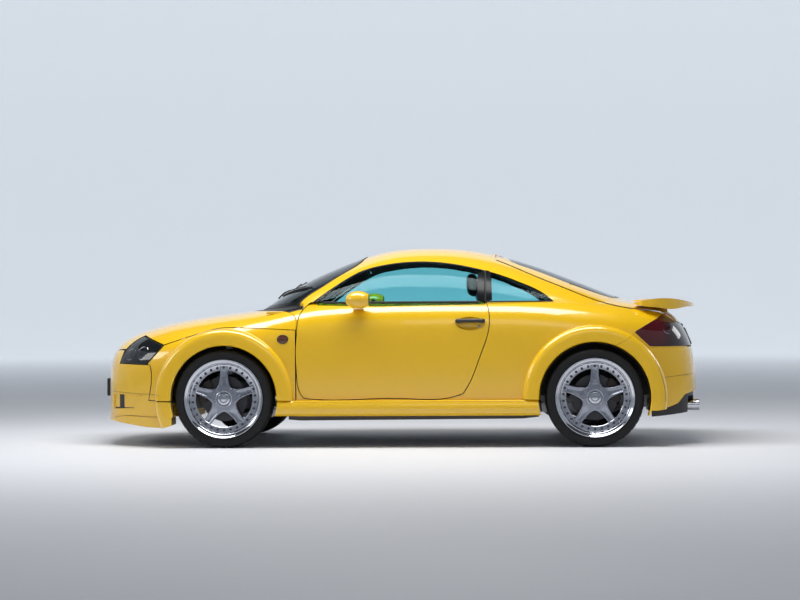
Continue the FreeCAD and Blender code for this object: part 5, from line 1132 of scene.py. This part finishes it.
def studio():
    """Lay a round pale floor that curves up into a softly glowing wall, outside every viewpoint."""
    profile = [(0.01, 0.0), (4.0, 0.0), (9.0, 0.0), (FLOOR_FLAT, 0.0)]
    profile += [(FLOOR_FLAT + FLOOR_BEND * sin(radians(a)), FLOOR_BEND - FLOOR_BEND * cos(radians(a)))
                for a in range(10, 91, 10)]
    profile += [(FLOOR_FLAT + FLOOR_BEND, z) for z in (16.0, WALL_TOP)]
    verts, faces = revolved(profile, 96)
    mesh = mesh_of("Studio floor", ([(v.x + 0.4, v.z, v.y) for v in verts], faces))
    for face in mesh.polygons:
        face.use_smooth = True
    pale = surface("Pale floor", (0.74, 0.75, 0.78), 0.6, 0, 0.03, 0.7, 60, 0.02, 0.0005)
    tree = pale.node_tree
    place = shader_node(tree, "TexCoord", "Object")
    reach = shader_node(tree, "VectorMath", "Value", {"operation": "LENGTH"}, Vector=place)
    across = shader_node(tree, "SeparateXYZ", "Y", Vector=place)
    away = shader_node(tree, "MapRange", "Result", Value=reach, From_Min=5, From_Max=24)
    back = shader_node(tree, "MapRange", "Result", Value=across, From_Min=-30, From_Max=30, To_Min=0.07, To_Max=0.47)
    product = shader_node(tree, "Math", "Value", {"operation": "MULTIPLY"}, Value=away)
    tree.links.new(back, product.node.inputs[1])
    shader = tree.nodes["Principled BSDF"]
    shader.inputs["Emission Color"].default_value = SKY_COLOR
    tree.links.new(product, shader.inputs["Emission Strength"])
    mesh.materials.append(pale)
    floor = bpy.data.objects.new("Studio floor", mesh)
    SCENE.collection.objects.link(floor)


def softbox(name, place, aim, wide, tall, power):
    light = bpy.data.lights.new(name, "AREA")
    light.shape = "RECTANGLE"
    light.size = wide
    light.size_y = tall
    light.energy = power
    lamp = bpy.data.objects.new(name, light)
    lamp.location = place
    lamp.rotation_euler = (Vector(aim) - Vector(place)).to_track_quat("-Z", "Y").to_euler()
    SCENE.collection.objects.link(lamp)


studio()
softbox("Top light", (-0.4, -1.2, 4.6), (0, 0.2, 0), 5.0, 2.0, 300)
softbox("Front light", (-6.0, -3.0, 3.2), (0, 0, 0.6), 2.4, 1.6, 60)
softbox("Camera light", (1.5, -9.0, 4.5), (0, 0, 0.6), 4.0, 2.0, 24)
softbox("Rear light", (6.5, 2.0, 3.4), (0, 0, 0.8), 2.4, 1.6, 50)
world = bpy.data.worlds.new("Studio")
world.use_nodes = True
background = world.node_tree.nodes["Background"]
background.inputs["Color"].default_value = (0.62, 0.66, 0.74, 1)
background.inputs["Strength"].default_value = 0.11
SCENE.world = world

SCENE.view_settings.view_transform = "Standard"

camera = bpy.data.objects.new("Camera", bpy.data.cameras.new("Camera"))
camera.data.lens = 94.15
camera.data.sensor_width = 36
camera.matrix_world = shift(0.666, -14.475, 0.917) @ turn(2.7, "Z") @ turn(90.19, "X") @ turn(-0.33, "Z")
SCENE.collection.objects.link(camera)
SCENE.camera = camera
